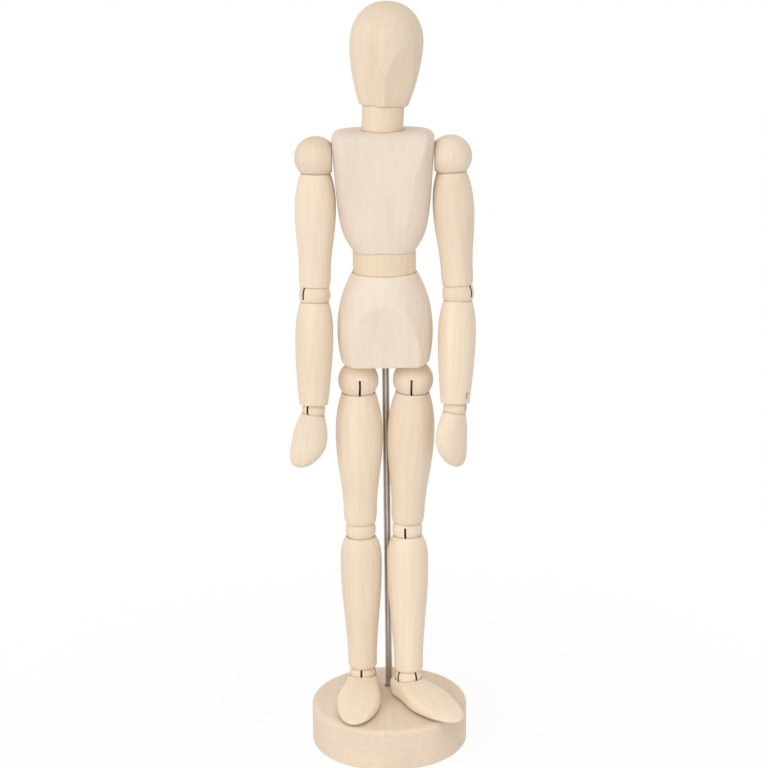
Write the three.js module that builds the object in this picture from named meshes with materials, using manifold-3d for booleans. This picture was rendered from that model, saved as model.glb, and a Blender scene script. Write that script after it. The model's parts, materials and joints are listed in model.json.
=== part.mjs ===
// Jointed wooden drawing figure on a round base.
// Millimetres, +Z up, origin at the centre of the base underside, the figure faces -Y.
// A side of -1 is the figure's right (-X) and a side of +1 its left (+X).

import * as THREE from 'three';
import { mergeVertices } from 'three/addons/utils/BufferGeometryUtils.js';
import Module from 'manifold-3d';

const wasm = await Module();
wasm.setup();

// Clearances
const FIT = 0.3;
const SOLE_GAP = 1.2;
const ARM_GAP = 0.6;
const THIGH_GAP = 1.5;

// Stand
const BASE_RADIUS = 32.5;
const BASE_HEIGHT = 17.5;
const BASE_EDGE = 2;
const BASE_CHAMFER = 0.8;
const ROD_RADIUS = 1.5;
const ROD_SOCKET = 12;
const ROD_REACH = 25;
const ROD_SETBACK = 6.5;
const TRUNK_SETBACK = 6;

// Pelvis, measured from the waist centre down
const PELVIS_DROP = 41.5;
const PELVIS_RADIUS = 19.2;
const PELVIS_WIDEST = 28.2;
const PELVIS_HEM_RADIUS = 17.9;
const PELVIS_HEM_EDGE = 1.5;
const PELVIS_FACET_REACH = 17.4;
const PELVIS_FACET_DROP = 15;
const PELVIS_FACET_TILT = 13;

// Waist and neck barrels: girth radius and half of the height that shows
const WAIST_RADIUS = 12.6;
const WAIST_HALF = 4;
const NECK_RADIUS = 8.2;
const NECK_HALF = 4.75;
const BARREL_BORE = 3.4;
const NECK_BORE = 5.6;

// Chest, heights measured from the waist centre up
const NECK_RISE = 56.8;
const SHOULDER_RISE = 41.5;
const CHEST_SHOULDER = 20.5;
const CHEST_SPOT = 19.9;
const CHEST_DEPTH = 14.3;
const CHEST_EDGE = 3;
const CHEST_WIDEST = 48;
const CHEST_HEM_WIDTH = 11.6;
const CHEST_HEM_DEPTH = 11.2;
const CHEST_HEM = 3.2;
const CHEST_APEX = 28.5;
const CHEST_UPPER_LEAN = 14;
const CHEST_LOWER_YAW = 14;
const CHEST_LOWER_TILT = 3;

// Head, heights measured from the neck centre up
const HEAD_HEIGHT = 44.7;
const HEAD_RADIUS = 14.3;
const HEAD_WIDEST = 28.7;
const HEAD_CHIN_RADIUS = 9.9;
const HEAD_CHIN_EDGE = 1.2;
const HEAD_RIDGE_REACH = 9.5;
const HEAD_RIDGE_LEAN = 17;
const HEAD_CHEEK_YAW = 27;
const HEAD_TILT = 3.5;

// Ball joints
const SHOULDER_BALL = 8.45;
const SHOULDER_FLAT = 2.15;
const ELBOW_BALL = 6.3;
const WRIST_BALL = 4.7;
const HIP_BALL = 8.2;
const KNEE_BALL = 6.3;
const ANKLE_BALL = 5.5;
const KERF = 1.4;
const PIN_RADIUS = 0.5;
const PIN_GRIP = 2.9;
const PIN_INSET = 0.6;
const EYE_WALL = 0.5;
const TONGUE_THICKNESS = 0.8;
const TONGUE_HALF = 1;
const TAIL_RADIUS = 1.6;
const TAIL_LENGTH = 5;

// Limbs: belly and neck radii, where the belly lies below the upper joint, and the rims round the balls
const UPPER_ARM = {
  length: 54.2, upperRim: 6.3, belly: 8.15, bellyAt: 21, neck: 6.35, neckAt: 9, lowerRim: 5.8,
};
const FOREARM = {
  length: 46.3, upperRim: 5.8, belly: 7.6, bellyAt: 17.5, neck: 5.75, neckAt: 2, lowerRim: 4.3,
};
const THIGH = {
  length: 64.2, upperRim: 6.8, belly: 9.6, bellyAt: 24, neck: 6.85, neckAt: 8, lowerRim: 6,
};
const SHIN = {
  length: 64.2, upperRim: 6.2, belly: 8.6, bellyAt: 15, neck: 6.05, neckAt: 4.4, lowerRim: 5,
};

// How fast a turned outline swells, as powers
const LIMB_POWER = 2.5;
const CALF_POWER = 3.3;
const TAPER_POWER = 1.6;
const PELVIS_TOP_POWER = 2.2;
const PELVIS_FLANK_POWER = 2;
const CHEST_POWER = 2;
const HEAD_JAW_POWER = 1.8;
const HEAD_CROWN_POWER = 0.93;

// How square a section is: 2 is an ellipse
const CHEST_HEM_SQUARE = 2.1;
const CHEST_TOP_SQUARE = 2.6;
const FOOT_TOP_SQUARE = 2.4;
const FOOT_SOLE_SQUARE = 7;

// Hand, measured from the wrist centre down
const HAND_LENGTH = 24.5;
const HAND_HALF_WIDTH = 7.3;
const HAND_WIDEST = 12.5;
const HAND_HALF_THICKNESS = 4;
const HAND_TOP = 1.8;
const HAND_TOP_RADIUS = 4.6;
const HAND_TIP_SHIFT = 2.6;
const HAND_TIP_POWER = 2.4;
const HAND_TOP_POWER = 1.7;
const HAND_SHIFT_POWER = 1.5;
const HAND_TIP_SHARE = 0.01;

// Foot, measured from the ankle centre
const ANKLE_HEIGHT = 8;
const FOOT_TOE = 29.7;
const FOOT_HEEL = 9;
const FOOT_BALL_AT = 15;
const FOOT_HALF_WIDTH = 9;
const FOOT_HEEL_HALF_WIDTH = 6.8;
const FOOT_INSTEP = 6;
const FOOT_TOE_HEIGHT = 3;
const FOOT_HEEL_ROUND = 3;
const FOOT_FLOOR = 1;
const FOOT_HEEL_POWER = 2.4;
const FOOT_TOE_POWER = 2.2;
const FOOT_LIFT_POWER = 3;
const FOOT_END_SHARE = 0.02;
const FOOT_END_HEIGHT = 0.35;
const FOOT_GIRTH_SHARE = 0.4;

// Hip seats under the pelvis
const HIP_DROP = 7.4;

// Springs
const SPRING_WIRE = 0.4;
const SPRING_TURNS = 4;

// Standing pose in degrees: forward swing, outward lean, saw-cut direction seen from above (front is 0)
const POSE = {
  '-1': {
    upperArm: { forward: 4, outward: 1.5 },
    forearm: { forward: 6.8, outward: 1.5 },
    hand: { forward: 6.8, outward: 8, twist: 0 },
    thigh: { forward: 0, outward: 0 },
    shin: { forward: 0, outward: 0 },
    cuts: { elbow: -45, wrist: -30, hip: 5, knee: -90 },
    foot: -5.7,
  },
  1: {
    upperArm: { forward: 4, outward: 2.9 },
    forearm: { forward: 6.8, outward: -1.9 },
    hand: { forward: 6.8, outward: -7, twist: 30 },
    thigh: { forward: 0, outward: -2.5 },
    shin: { forward: 4.7, outward: 0 },
    cuts: { elbow: 56, wrist: 70, hip: -5, knee: -9 },
    foot: 35,
  },
};

// Facets of the turned pieces
const LIMB_SIDES = 12;
const TRUNK_SIDES = 20;
const BASE_SIDES = 36;
const BALL_SIDES = 12;
const BALL_RINGS = 8;
const BORE_SIDES = 8;
const SEAT_STEPS = 3;
const SEAT_SIDES = 16;
const SEAT_RINGS = 10;
const COIL_STEPS = 6;
const WIRE_SIDES = 4;
const ROD_SIDES = 12;
const EYE_SEGMENTS = 3;
const EDGE_STEPS = 2;
const ROUND_STEPS = 3;
const SHANK_STEPS = 4;
const SHOULDER_STEPS = 3;
const FLANK_STEPS = 3;
const PELVIS_TOP_STEPS = 6;
const CHEST_STEPS = 7;
const JAW_STEPS = 5;
const CROWN_STEPS = 6;
const HAND_STEPS = 8;
const FOOT_STEPS = 9;
const WELD = 1e-4;
const CUTTER = 120;

// Sizes that follow from the ones above
const EYE_BORE = PIN_RADIUS + FIT;
const EYE_RADIUS = EYE_BORE + EYE_WALL;
const SLOT_FLOOR = EYE_RADIUS + FIT;
const BORE_RADIUS = TAIL_RADIUS + FIT;
const ROD_BORE = ROD_RADIUS + FIT;
const WAIST_DOME = Math.hypot(WAIST_RADIUS, WAIST_HALF);
const NECK_DOME = Math.hypot(NECK_RADIUS, NECK_HALF);
const CHEST_TOP = NECK_RISE - NECK_HALF;
const SHOULDER_FACE = SHOULDER_BALL - SHOULDER_FLAT;
const SHOULDER_SPREAD = CHEST_SPOT + FIT + SHOULDER_FACE;
const CHEST_FLANK = SHOULDER_SPREAD - UPPER_ARM.belly - ARM_GAP + FIT;
const HIP_SPREAD = THIGH.belly + THIGH_GAP;
const HIP_HEIGHT = BASE_HEIGHT + SOLE_GAP + ANKLE_HEIGHT + SHIN.length + THIGH.length;
const WAIST_HEIGHT = HIP_HEIGHT + HIP_DROP + PELVIS_DROP;
const ANKLE_SPIGOT = ANKLE_HEIGHT - ANKLE_BALL - FOOT_FLOOR - FIT;

const QUARTER_TURN = Math.PI / 2;
const FULL_TURN = Math.PI * 2;
const DOWN = new THREE.Vector3(0, 0, -1);
const UP = new THREE.Vector3(0, 0, 1);

const wood = (color, roughness = 0.62) => (
  new THREE.MeshStandardMaterial({ color, roughness, metalness: 0 })
);
const MATERIALS = {
  pale: wood('#ead9be'),
  blond: wood('#e9d0a9'),
  barrel: wood('#e8c99b'),
  base: wood('#dcbc8e', 0.55),
  steel: new THREE.MeshStandardMaterial({ color: '#8b8781', roughness: 0.35, metalness: 1 }),
};

const rad = THREE.MathUtils.degToRad;
const vec = (x, y, z) => new THREE.Vector3(x, y, z);

// A closed geometry as a solid for cutting and joining.
function solid(geometry) {
  const bare = geometry.clone();
  bare.deleteAttribute('normal');
  bare.deleteAttribute('uv');
  const welded = mergeVertices(bare, WELD);
  const corners = Array.from(welded.index.array);
  const triVerts = [];
  for (let i = 0; i < corners.length; i += 3) {
    const [a, b, c] = corners.slice(i, i + 3);
    if (a !== b && b !== c && c !== a) triVerts.push(a, b, c);
  }
  return new wasm.Manifold(new wasm.Mesh({
    numProp: 3,
    vertProperties: new Float32Array(welded.attributes.position.array),
    triVerts: new Uint32Array(triVerts),
  }));
}

// A solid as a named mesh.
function mesh(name, body, material) {
  const { vertProperties, triVerts } = body.getMesh();
  const geometry = new THREE.BufferGeometry();
  geometry.setAttribute('position', new THREE.BufferAttribute(vertProperties, 3));
  geometry.setIndex(new THREE.BufferAttribute(triVerts, 1));
  geometry.computeVertexNormals();
  const result = new THREE.Mesh(geometry, material);
  result.name = name;
  return result;
}

// A solid turned about Z from a profile of [radius, height] points that runs upwards on the outside.
function turned(profile, sides) {
  const points = profile.map(([radius, height]) => new THREE.Vector2(Math.max(radius, 0), height));
  return solid(new THREE.LatheGeometry(points, sides).rotateX(Math.PI / 2));
}

// A closed skin through rings with equal counts of points, counter-clockwise seen from the last ring.
function loft(rings) {
  const sides = rings[0].length;
  const last = (rings.length - 1) * sides;
  const index = [];
  for (let ring = 0; ring + 1 < rings.length; ring += 1) {
    for (let side = 0; side < sides; side += 1) {
      const a = ring * sides + side;
      const b = ring * sides + ((side + 1) % sides);
      index.push(a, b, b + sides, a, b + sides, a + sides);
    }
  }
  for (let side = 1; side + 1 < sides; side += 1) {
    index.push(0, side + 1, side, last, last + side, last + side + 1);
  }
  const places = rings.flat().flatMap((point) => point.toArray());
  const geometry = new THREE.BufferGeometry();
  geometry.setAttribute('position', new THREE.Float32BufferAttribute(places, 3));
  geometry.setIndex(index);
  return geometry;
}

// A rod between two points.
function bar(from, to, radius, sides = BORE_SIDES) {
  const axis = to.clone().sub(from);
  const geometry = new THREE.CylinderGeometry(radius, radius, axis.length(), sides);
  const turn = new THREE.Quaternion().setFromUnitVectors(vec(0, 1, 0), axis.clone().normalize());
  geometry.applyQuaternion(turn);
  return solid(geometry.translate(...from.clone().add(to).multiplyScalar(0.5).toArray()));
}

function box(low, high) {
  const size = high.clone().sub(low);
  const centre = low.clone().add(high).multiplyScalar(0.5);
  return solid(new THREE.BoxGeometry(...size.toArray()).translate(...centre.toArray()));
}

function sphere(radius) {
  return solid(new THREE.SphereGeometry(radius, BALL_SIDES, BALL_RINGS).rotateX(Math.PI / 2));
}

// A round seat whose facets all stay clear of the radius.
function hollow(radius, centre = vec(0, 0, 0)) {
  const spread = radius / Math.cos(Math.PI / SEAT_SIDES) / Math.cos(Math.PI / SEAT_RINGS / 2);
  const geometry = new THREE.SphereGeometry(spread, SEAT_SIDES, SEAT_RINGS).rotateX(Math.PI / 2);
  return solid(geometry.translate(...centre.toArray()));
}

// Everything beyond a plane, to plane a flat on a piece.
function beyond(point, normal) {
  const geometry = new THREE.BoxGeometry(CUTTER, CUTTER, CUTTER).translate(0, 0, CUTTER / 2);
  geometry.applyQuaternion(new THREE.Quaternion().setFromUnitVectors(UP, normal.clone().normalize()));
  return solid(geometry.translate(...point.toArray()));
}

// A coil spring along Z, centred on the origin.
class Helix extends THREE.Curve {
  constructor(radius, length, turns) {
    super();
    Object.assign(this, { radius, length, turns });
  }

  getPoint(t, target = new THREE.Vector3()) {
    const angle = t * this.turns * Math.PI * 2;
    const height = (t - 0.5) * this.length;
    return target.set(this.radius * Math.cos(angle), this.radius * Math.sin(angle), height);
  }
}

function spring(outerRadius, length) {
  const wire = new THREE.Shape(steps(WIRE_SIDES).slice(0, -1).map((share) => {
    const angle = share * Math.PI * 2;
    return new THREE.Vector2(SPRING_WIRE * Math.cos(angle), SPRING_WIRE * Math.sin(angle));
  }));
  const path = new Helix(outerRadius - SPRING_WIRE, length - 2 * SPRING_WIRE, SPRING_TURNS);
  return solid(new THREE.ExtrudeGeometry(wire, {
    extrudePath: path, steps: SPRING_TURNS * COIL_STEPS, bevelEnabled: false,
  }));
}

// Rises from 0 to 1, quickly at first, as turned shoulders do.
const swell = (share, power) => 1 - (1 - share) ** power;
const waisted = (share) => (1 - Math.cos(share * Math.PI)) / 2;
const tapered = (share) => share ** TAPER_POWER;
const steps = (count) => Array.from({ length: count + 1 }, (_, step) => step / count);

// The concave seat that holds a ball, from its pole (above or below the ball centre) to its rim.
function seat(ballRadius, rim, centreHeight, pole) {
  const radius = (ballRadius + FIT) / Math.cos(Math.PI / LIMB_SIDES);
  const reach = Math.asin(rim / radius);
  return steps(SEAT_STEPS).map((share) => [
    radius * Math.sin(reach * share),
    centreHeight + pole * radius * Math.cos(reach * share),
  ]);
}

// A turned limb that hangs from its upper joint at the origin to its lower joint at -length.
function limb(size, upperBall, lowerBall, swellPower, fall) {
  const upperSeat = seat(upperBall, size.upperRim, 0, -1);
  const lowerSeat = seat(lowerBall, size.lowerRim, -size.length, 1);
  const upperHeight = upperSeat.at(-1)[1];
  const lowerHeight = lowerSeat.at(-1)[1];
  const neckHeight = -size.length + size.neckAt;
  const edge = steps(EDGE_STEPS).slice(1).map((share) => [
    size.lowerRim + (size.neck - size.lowerRim) * Math.sin(share * QUARTER_TURN),
    lowerHeight + (neckHeight - lowerHeight) * (1 - Math.cos(share * QUARTER_TURN)),
  ]);
  const shank = steps(SHANK_STEPS).slice(1).map((share) => [
    size.neck + (size.belly - size.neck) * (1 - fall(1 - share)),
    neckHeight + (-size.bellyAt - neckHeight) * share,
  ]);
  const shoulder = steps(SHOULDER_STEPS).slice(1, -1).reverse().map((share) => [
    size.upperRim + (size.belly - size.upperRim) * swell(share, swellPower),
    upperHeight + (-size.bellyAt - upperHeight) * share,
  ]);
  return turned([...lowerSeat, ...edge, ...shank, ...shoulder, ...upperSeat.reverse()], LIMB_SIDES);
}

// A ball with its saw cut in the YZ plane, its cross-pin hole along X and its swivel spigot.
function ball(radius, cuts, spigot, spigotLength, pinSide) {
  let body = sphere(radius);
  body = body.add(bar(vec(0, 0, 0), spigot.clone().multiplyScalar(radius + spigotLength), TAIL_RADIUS));
  for (const cut of cuts) body = body.subtract(cut);
  const near = vec(-pinSide * PIN_GRIP, 0, 0);
  const far = vec(pinSide * (radius + FIT), 0, 0);
  return body.subtract(bar(near, far, EYE_BORE));
}

function pin(radius, pinSide) {
  const near = vec(-pinSide * (PIN_GRIP - FIT), 0, 0);
  const far = vec(pinSide * (radius - PIN_INSET), 0, 0);
  return bar(near, far, PIN_RADIUS);
}

// Saw cuts: half across a ball from above (+1) or below (-1).
function halfCut(radius, pole) {
  const reach = radius + FIT;
  const ends = [-pole * SLOT_FLOOR, pole * reach].sort((a, b) => a - b);
  return box(vec(-KERF / 2, -reach, ends[0]), vec(KERF / 2, reach, ends[1]));
}

// The shoulder cut opens downwards and outwards only.
function quarterCut(radius) {
  const reach = radius + FIT;
  return box(vec(-KERF / 2, -reach, -reach), vec(KERF / 2, SLOT_FLOOR, SLOT_FLOOR));
}

// Steel link: an eye round the pin, a flat tongue in the saw cut and a round tail in the limb.
function link(ballRadius, pole) {
  const root = ballRadius + 2 * FIT;
  const shoulder = Math.sqrt(EYE_RADIUS ** 2 - TONGUE_HALF ** 2);
  const start = Math.atan2(shoulder, TONGUE_HALF);
  const outline = new THREE.Shape();
  outline.moveTo(-TONGUE_HALF, root + FIT);
  outline.lineTo(-TONGUE_HALF, shoulder);
  outline.absarc(0, 0, EYE_RADIUS, Math.PI - start, start + FULL_TURN, false);
  outline.lineTo(TONGUE_HALF, root + FIT);
  outline.closePath();
  outline.holes.push(new THREE.Path().absarc(0, 0, EYE_BORE, 0, FULL_TURN, true));
  const plate = new THREE.ExtrudeGeometry(outline, {
    depth: TONGUE_THICKNESS, curveSegments: EYE_SEGMENTS, bevelEnabled: false,
  });
  plate.translate(0, 0, -TONGUE_THICKNESS / 2);
  plate.applyMatrix4(new THREE.Matrix4().makeBasis(vec(0, 1, 0), UP, vec(1, 0, 0)));
  const tail = bar(vec(0, 0, root), vec(0, 0, root + TAIL_LENGTH), TAIL_RADIUS);
  const body = solid(plate).add(tail);
  return pole > 0 ? body : body.rotate([180, 0, 0]);
}

// The blind hole for a link tail or a swivel spigot, bored along a direction from a ball centre.
function bore(ballRadius, centre, direction, depth = TAIL_LENGTH) {
  const reach = ballRadius + 2 * FIT + depth + FIT;
  return bar(centre, centre.clone().addScaledVector(direction, reach), BORE_RADIUS);
}

// Barrel with domed ends and a hole for the spring.
function barrel(radius, dome, hole) {
  const reach = Math.asin(radius / dome);
  const least = Math.asin(hole / dome);
  const top = steps(SEAT_STEPS).map((share) => {
    const angle = reach + (least - reach) * share;
    return [dome * Math.sin(angle), dome * Math.cos(angle)];
  });
  const bottom = top.map(([r, z]) => [r, -z]).reverse();
  return turned([...bottom, ...top, bottom[0]], TRUNK_SIDES);
}

function baseSolid() {
  const edge = steps(ROUND_STEPS).map((share) => {
    const angle = share * QUARTER_TURN;
    return [
      BASE_RADIUS - BASE_EDGE + BASE_EDGE * Math.cos(angle),
      BASE_HEIGHT - BASE_EDGE + BASE_EDGE * Math.sin(angle),
    ];
  });
  const foot = [[0, 0], [BASE_RADIUS - BASE_CHAMFER, 0], [BASE_RADIUS, BASE_CHAMFER]];
  const socket = vec(0, TRUNK_SETBACK + ROD_SETBACK, BASE_HEIGHT - ROD_SOCKET);
  const hole = bar(socket, socket.clone().setZ(BASE_HEIGHT + FIT), ROD_BORE);
  return turned([...foot, ...edge, [0, BASE_HEIGHT]], BASE_SIDES).subtract(hole);
}

function pelvisSolid() {
  const rim = -WAIST_HALF;
  const hem = steps(EDGE_STEPS).map((share) => [
    PELVIS_HEM_RADIUS - PELVIS_HEM_EDGE * (1 - Math.sin(share * QUARTER_TURN)),
    -PELVIS_DROP + PELVIS_HEM_EDGE * (1 - Math.cos(share * QUARTER_TURN)),
  ]);
  const hemTop = hem.at(-1)[1];
  const flank = steps(FLANK_STEPS).slice(1).map((share) => [
    PELVIS_HEM_RADIUS + (PELVIS_RADIUS - PELVIS_HEM_RADIUS) * swell(share, PELVIS_FLANK_POWER),
    hemTop + (-PELVIS_WIDEST - hemTop) * share,
  ]);
  const least = WAIST_RADIUS + FIT;
  const top = steps(PELVIS_TOP_STEPS).slice(1).map((share) => [
    least + (PELVIS_RADIUS - least) * swell(1 - share, PELVIS_TOP_POWER),
    -PELVIS_WIDEST + (rim + PELVIS_WIDEST) * share,
  ]);
  let body = turned([[0, -PELVIS_DROP], ...hem, ...flank, ...top, [0, rim]], TRUNK_SIDES);
  const tilt = rad(PELVIS_FACET_TILT);
  for (const facing of [-1, 1]) {
    const foot = vec(0, facing * PELVIS_FACET_REACH, -PELVIS_FACET_DROP);
    body = body.subtract(beyond(foot, vec(0, facing * Math.cos(tilt), -Math.sin(tilt))));
  }
  body = body.subtract(hollow(WAIST_DOME + FIT));
  const rodLow = vec(0, ROD_SETBACK, -PELVIS_DROP - FIT);
  const rodHigh = vec(0, ROD_SETBACK, -PELVIS_DROP + ROD_REACH + FIT);
  body = body.subtract(bar(rodLow, rodHigh, ROD_BORE));
  for (const side of [-1, 1]) {
    const hip = vec(side * HIP_SPREAD, 0, -PELVIS_DROP - HIP_DROP);
    body = body.subtract(hollow(HIP_BALL + FIT, hip)).subtract(bore(HIP_BALL, hip, UP));
  }
  return body;
}

// Rounded chest sections: superellipses that go from round at the hem to squarer at the shoulders.
function chestRing(width, depth, height, squareness) {
  return steps(TRUNK_SIDES).slice(0, -1).map((share) => {
    const angle = share * FULL_TURN;
    const along = Math.sign(Math.cos(angle)) * Math.abs(Math.cos(angle)) ** (2 / squareness);
    const across = Math.sign(Math.sin(angle)) * Math.abs(Math.sin(angle)) ** (2 / squareness);
    return vec(width * along, depth * across, height);
  });
}

function chestSolid() {
  const width = new THREE.SplineCurve([
    new THREE.Vector2(CHEST_HEM, CHEST_HEM_WIDTH),
    new THREE.Vector2((CHEST_HEM + CHEST_APEX) / 3, (CHEST_HEM_WIDTH + 2 * CHEST_FLANK) / 3),
    new THREE.Vector2((CHEST_HEM + 2 * CHEST_APEX) / 3, CHEST_FLANK),
    new THREE.Vector2(CHEST_WIDEST, CHEST_SHOULDER),
  ]);
  const rings = [];
  for (const share of steps(CHEST_STEPS)) {
    const { x: height, y: half } = width.getPoint(share);
    const rise = (height - CHEST_HEM) / (CHEST_WIDEST - CHEST_HEM);
    const depth = CHEST_HEM_DEPTH + (CHEST_DEPTH - CHEST_HEM_DEPTH) * swell(rise, CHEST_POWER);
    const square = CHEST_HEM_SQUARE + (CHEST_TOP_SQUARE - CHEST_HEM_SQUARE) * rise;
    rings.push(chestRing(half, depth, height, square));
  }
  const shoulderLine = CHEST_TOP - CHEST_EDGE;
  for (const share of steps(ROUND_STEPS)) {
    const inset = CHEST_EDGE * (1 - Math.cos(share * QUARTER_TURN));
    const height = shoulderLine + CHEST_EDGE * Math.sin(share * QUARTER_TURN);
    rings.push(chestRing(CHEST_SHOULDER - inset, CHEST_DEPTH - inset, height, CHEST_TOP_SQUARE));
  }
  let body = solid(loft(rings));
  const lean = rad(CHEST_UPPER_LEAN);
  const apexRise = (CHEST_APEX - CHEST_HEM) / (CHEST_WIDEST - CHEST_HEM);
  const apexDepth = CHEST_HEM_DEPTH + (CHEST_DEPTH - CHEST_HEM_DEPTH) * swell(apexRise, CHEST_POWER);
  const apex = vec(0, -apexDepth + FIT, CHEST_APEX);
  body = body.subtract(beyond(apex, vec(0, -Math.cos(lean), Math.sin(lean))));
  for (const side of [-1, 1]) {
    const yaw = rad(CHEST_LOWER_YAW);
    const facing = vec(side * Math.sin(yaw), -Math.cos(yaw), -Math.sin(rad(CHEST_LOWER_TILT)));
    body = body.subtract(beyond(apex, facing));
    const shoulder = vec(side * CHEST_SPOT, 0, SHOULDER_RISE);
    const spotRadius = Math.sqrt(SHOULDER_BALL ** 2 - SHOULDER_FACE ** 2) + 3 * FIT;
    body = body.subtract(bar(shoulder, shoulder.clone().setX(2 * shoulder.x), spotRadius, BALL_SIDES));
  }
  const bind = vec(CHEST_SHOULDER + FIT, 0, SHOULDER_RISE);
  body = body.subtract(bar(bind.clone().setX(-bind.x), bind, BORE_RADIUS));
  return body.subtract(hollow(WAIST_DOME + FIT)).subtract(hollow(NECK_DOME + FIT, vec(0, 0, NECK_RISE)));
}

function headSolid() {
  const chin = steps(EDGE_STEPS).map((share) => [
    HEAD_CHIN_RADIUS - HEAD_CHIN_EDGE * (1 - Math.sin(share * QUARTER_TURN)),
    NECK_HALF + HEAD_CHIN_EDGE * (1 - Math.cos(share * QUARTER_TURN)),
  ]);
  const chinTop = chin.at(-1)[1];
  const jaw = steps(JAW_STEPS).slice(1).map((share) => [
    HEAD_CHIN_RADIUS + (HEAD_RADIUS - HEAD_CHIN_RADIUS) * swell(share, HEAD_JAW_POWER),
    chinTop + (HEAD_WIDEST - chinTop) * share,
  ]);
  const crown = steps(CROWN_STEPS).slice(1).map((share) => [
    HEAD_RADIUS * Math.cos(share * QUARTER_TURN) ** HEAD_CROWN_POWER,
    HEAD_WIDEST + (HEAD_HEIGHT - HEAD_WIDEST) * Math.sin(share * QUARTER_TURN) ** HEAD_CROWN_POWER,
  ]);
  crown.at(-1)[0] = 0;
  let body = turned([[0, NECK_HALF], ...chin, ...jaw, ...crown], TRUNK_SIDES);
  const ridge = vec(0, -HEAD_RIDGE_REACH, NECK_HALF);
  const lean = rad(HEAD_RIDGE_LEAN);
  const yaw = rad(HEAD_CHEEK_YAW);
  for (const side of [-1, 1]) {
    const across = vec(side * Math.cos(yaw), Math.sin(yaw), 0);
    const along = vec(0, -Math.sin(lean), Math.cos(lean));
    const normal = side > 0 ? across.clone().cross(along) : along.clone().cross(across);
    body = body.subtract(beyond(ridge, normal));
  }
  return body.subtract(hollow(NECK_DOME + FIT));
}

// A section of the hand at a depth below the wrist: half-width, half-thickness and outward shift.
function handSection(drop, side) {
  if (drop > HAND_WIDEST) {
    const run = (drop - HAND_WIDEST) / (HAND_LENGTH - HAND_WIDEST);
    const close = Math.sqrt(Math.max(1 - run ** HAND_TIP_POWER, HAND_TIP_SHARE));
    const shift = side * HAND_TIP_SHIFT * run ** HAND_SHIFT_POWER;
    return { width: HAND_HALF_WIDTH * close, thick: HAND_HALF_THICKNESS * close, shift };
  }
  const run = (HAND_WIDEST - drop) / (HAND_WIDEST - HAND_TOP);
  return {
    width: HAND_HALF_WIDTH - (HAND_HALF_WIDTH - HAND_TOP_RADIUS) * run ** HAND_TOP_POWER,
    thick: HAND_HALF_THICKNESS + (HAND_TOP_RADIUS - HAND_HALF_THICKNESS) * run,
    shift: 0,
  };
}

// Oval paddle whose inner edge slants to a tip on the outer side.
function handSolid(side) {
  const rings = steps(HAND_STEPS).reverse().map((share) => {
    const drop = HAND_TOP + (HAND_LENGTH - HAND_TOP) * share;
    const { width, thick, shift } = handSection(drop, side);
    return steps(LIMB_SIDES).slice(0, -1).map((turn) => {
      const angle = turn * FULL_TURN;
      return vec(shift + width * Math.cos(angle), thick * Math.sin(angle), -drop);
    });
  });
  const body = solid(loft(rings)).subtract(hollow(WRIST_BALL + FIT));
  return body.subtract(bore(WRIST_BALL, vec(0, 0, 0), DOWN));
}

// Flat sole, domed instep that slopes to the toe, rounded heel; the toe points along -Y.
function footSolid() {
  const length = FOOT_HEEL + FOOT_TOE;
  const rings = steps(FOOT_STEPS).map((share) => {
    const along = -FOOT_HEEL + length * waisted(share);
    const heelRun = Math.min((along + FOOT_HEEL) / FOOT_HEEL, 1);
    const toeRun = Math.max((along - FOOT_BALL_AT) / (FOOT_TOE - FOOT_BALL_AT), 0);
    const middle = Math.min(Math.max(along / FOOT_BALL_AT, 0), 1);
    const full = FOOT_HEEL_HALF_WIDTH + (FOOT_HALF_WIDTH - FOOT_HEEL_HALF_WIDTH) * waisted(middle);
    const heelEnd = Math.sqrt(Math.max(1 - (1 - heelRun) ** FOOT_HEEL_POWER, FOOT_END_SHARE));
    const toeEnd = Math.sqrt(Math.max(1 - toeRun ** FOOT_TOE_POWER, FOOT_END_SHARE));
    const ends = heelEnd * toeEnd;
    const slope = Math.max(along, 0) / FOOT_TOE;
    const top = FOOT_INSTEP + (FOOT_TOE_HEIGHT - FOOT_INSTEP) * slope;
    const lift = FOOT_HEEL_ROUND * (1 - heelRun) ** FOOT_LIFT_POWER;
    const crown = lift + (top - lift) * (FOOT_END_HEIGHT + (1 - FOOT_END_HEIGHT) * ends);
    const girth = lift + (crown - lift) * FOOT_GIRTH_SHARE;
    return steps(LIMB_SIDES).slice(0, -1).map((turn) => {
      const angle = turn * FULL_TURN;
      const square = Math.sin(angle) > 0 ? FOOT_TOP_SQUARE : FOOT_SOLE_SQUARE;
      const x = Math.sign(Math.cos(angle)) * Math.abs(Math.cos(angle)) ** (2 / square);
      const z = Math.sign(Math.sin(angle)) * Math.abs(Math.sin(angle)) ** (2 / square);
      const height = z > 0 ? girth + (crown - girth) * z : girth + (girth - lift) * z;
      return vec(full * ends * x, height - ANKLE_HEIGHT, along);
    });
  });
  const body = solid(loft(rings).rotateX(Math.PI / 2)).subtract(hollow(ANKLE_BALL + FIT));
  return body.subtract(bar(vec(0, 0, 0), vec(0, 0, -ANKLE_HEIGHT + FOOT_FLOOR), BORE_RADIUS));
}

// A limb's direction at rest: forward swing, outward lean and turn about its own length.
function attitude(forward, outward, side, twist = 0) {
  const swing = new THREE.Quaternion().setFromAxisAngle(vec(1, 0, 0), -rad(forward));
  const lean = new THREE.Quaternion().setFromAxisAngle(vec(0, 1, 0), -side * rad(outward));
  const turn = new THREE.Quaternion().setFromAxisAngle(UP, rad(twist));
  return swing.multiply(lean).multiply(turn);
}

// A joint frame at a place in its parent, turned to the direction that it has in the standing figure.
function frameAt(parent, place, direction) {
  const group = new THREE.Group();
  group.position.copy(place);
  group.quaternion.copy(parent.userData.direction).invert().multiply(direction);
  group.userData.direction = direction;
  parent.add(group);
  return group;
}

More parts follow.
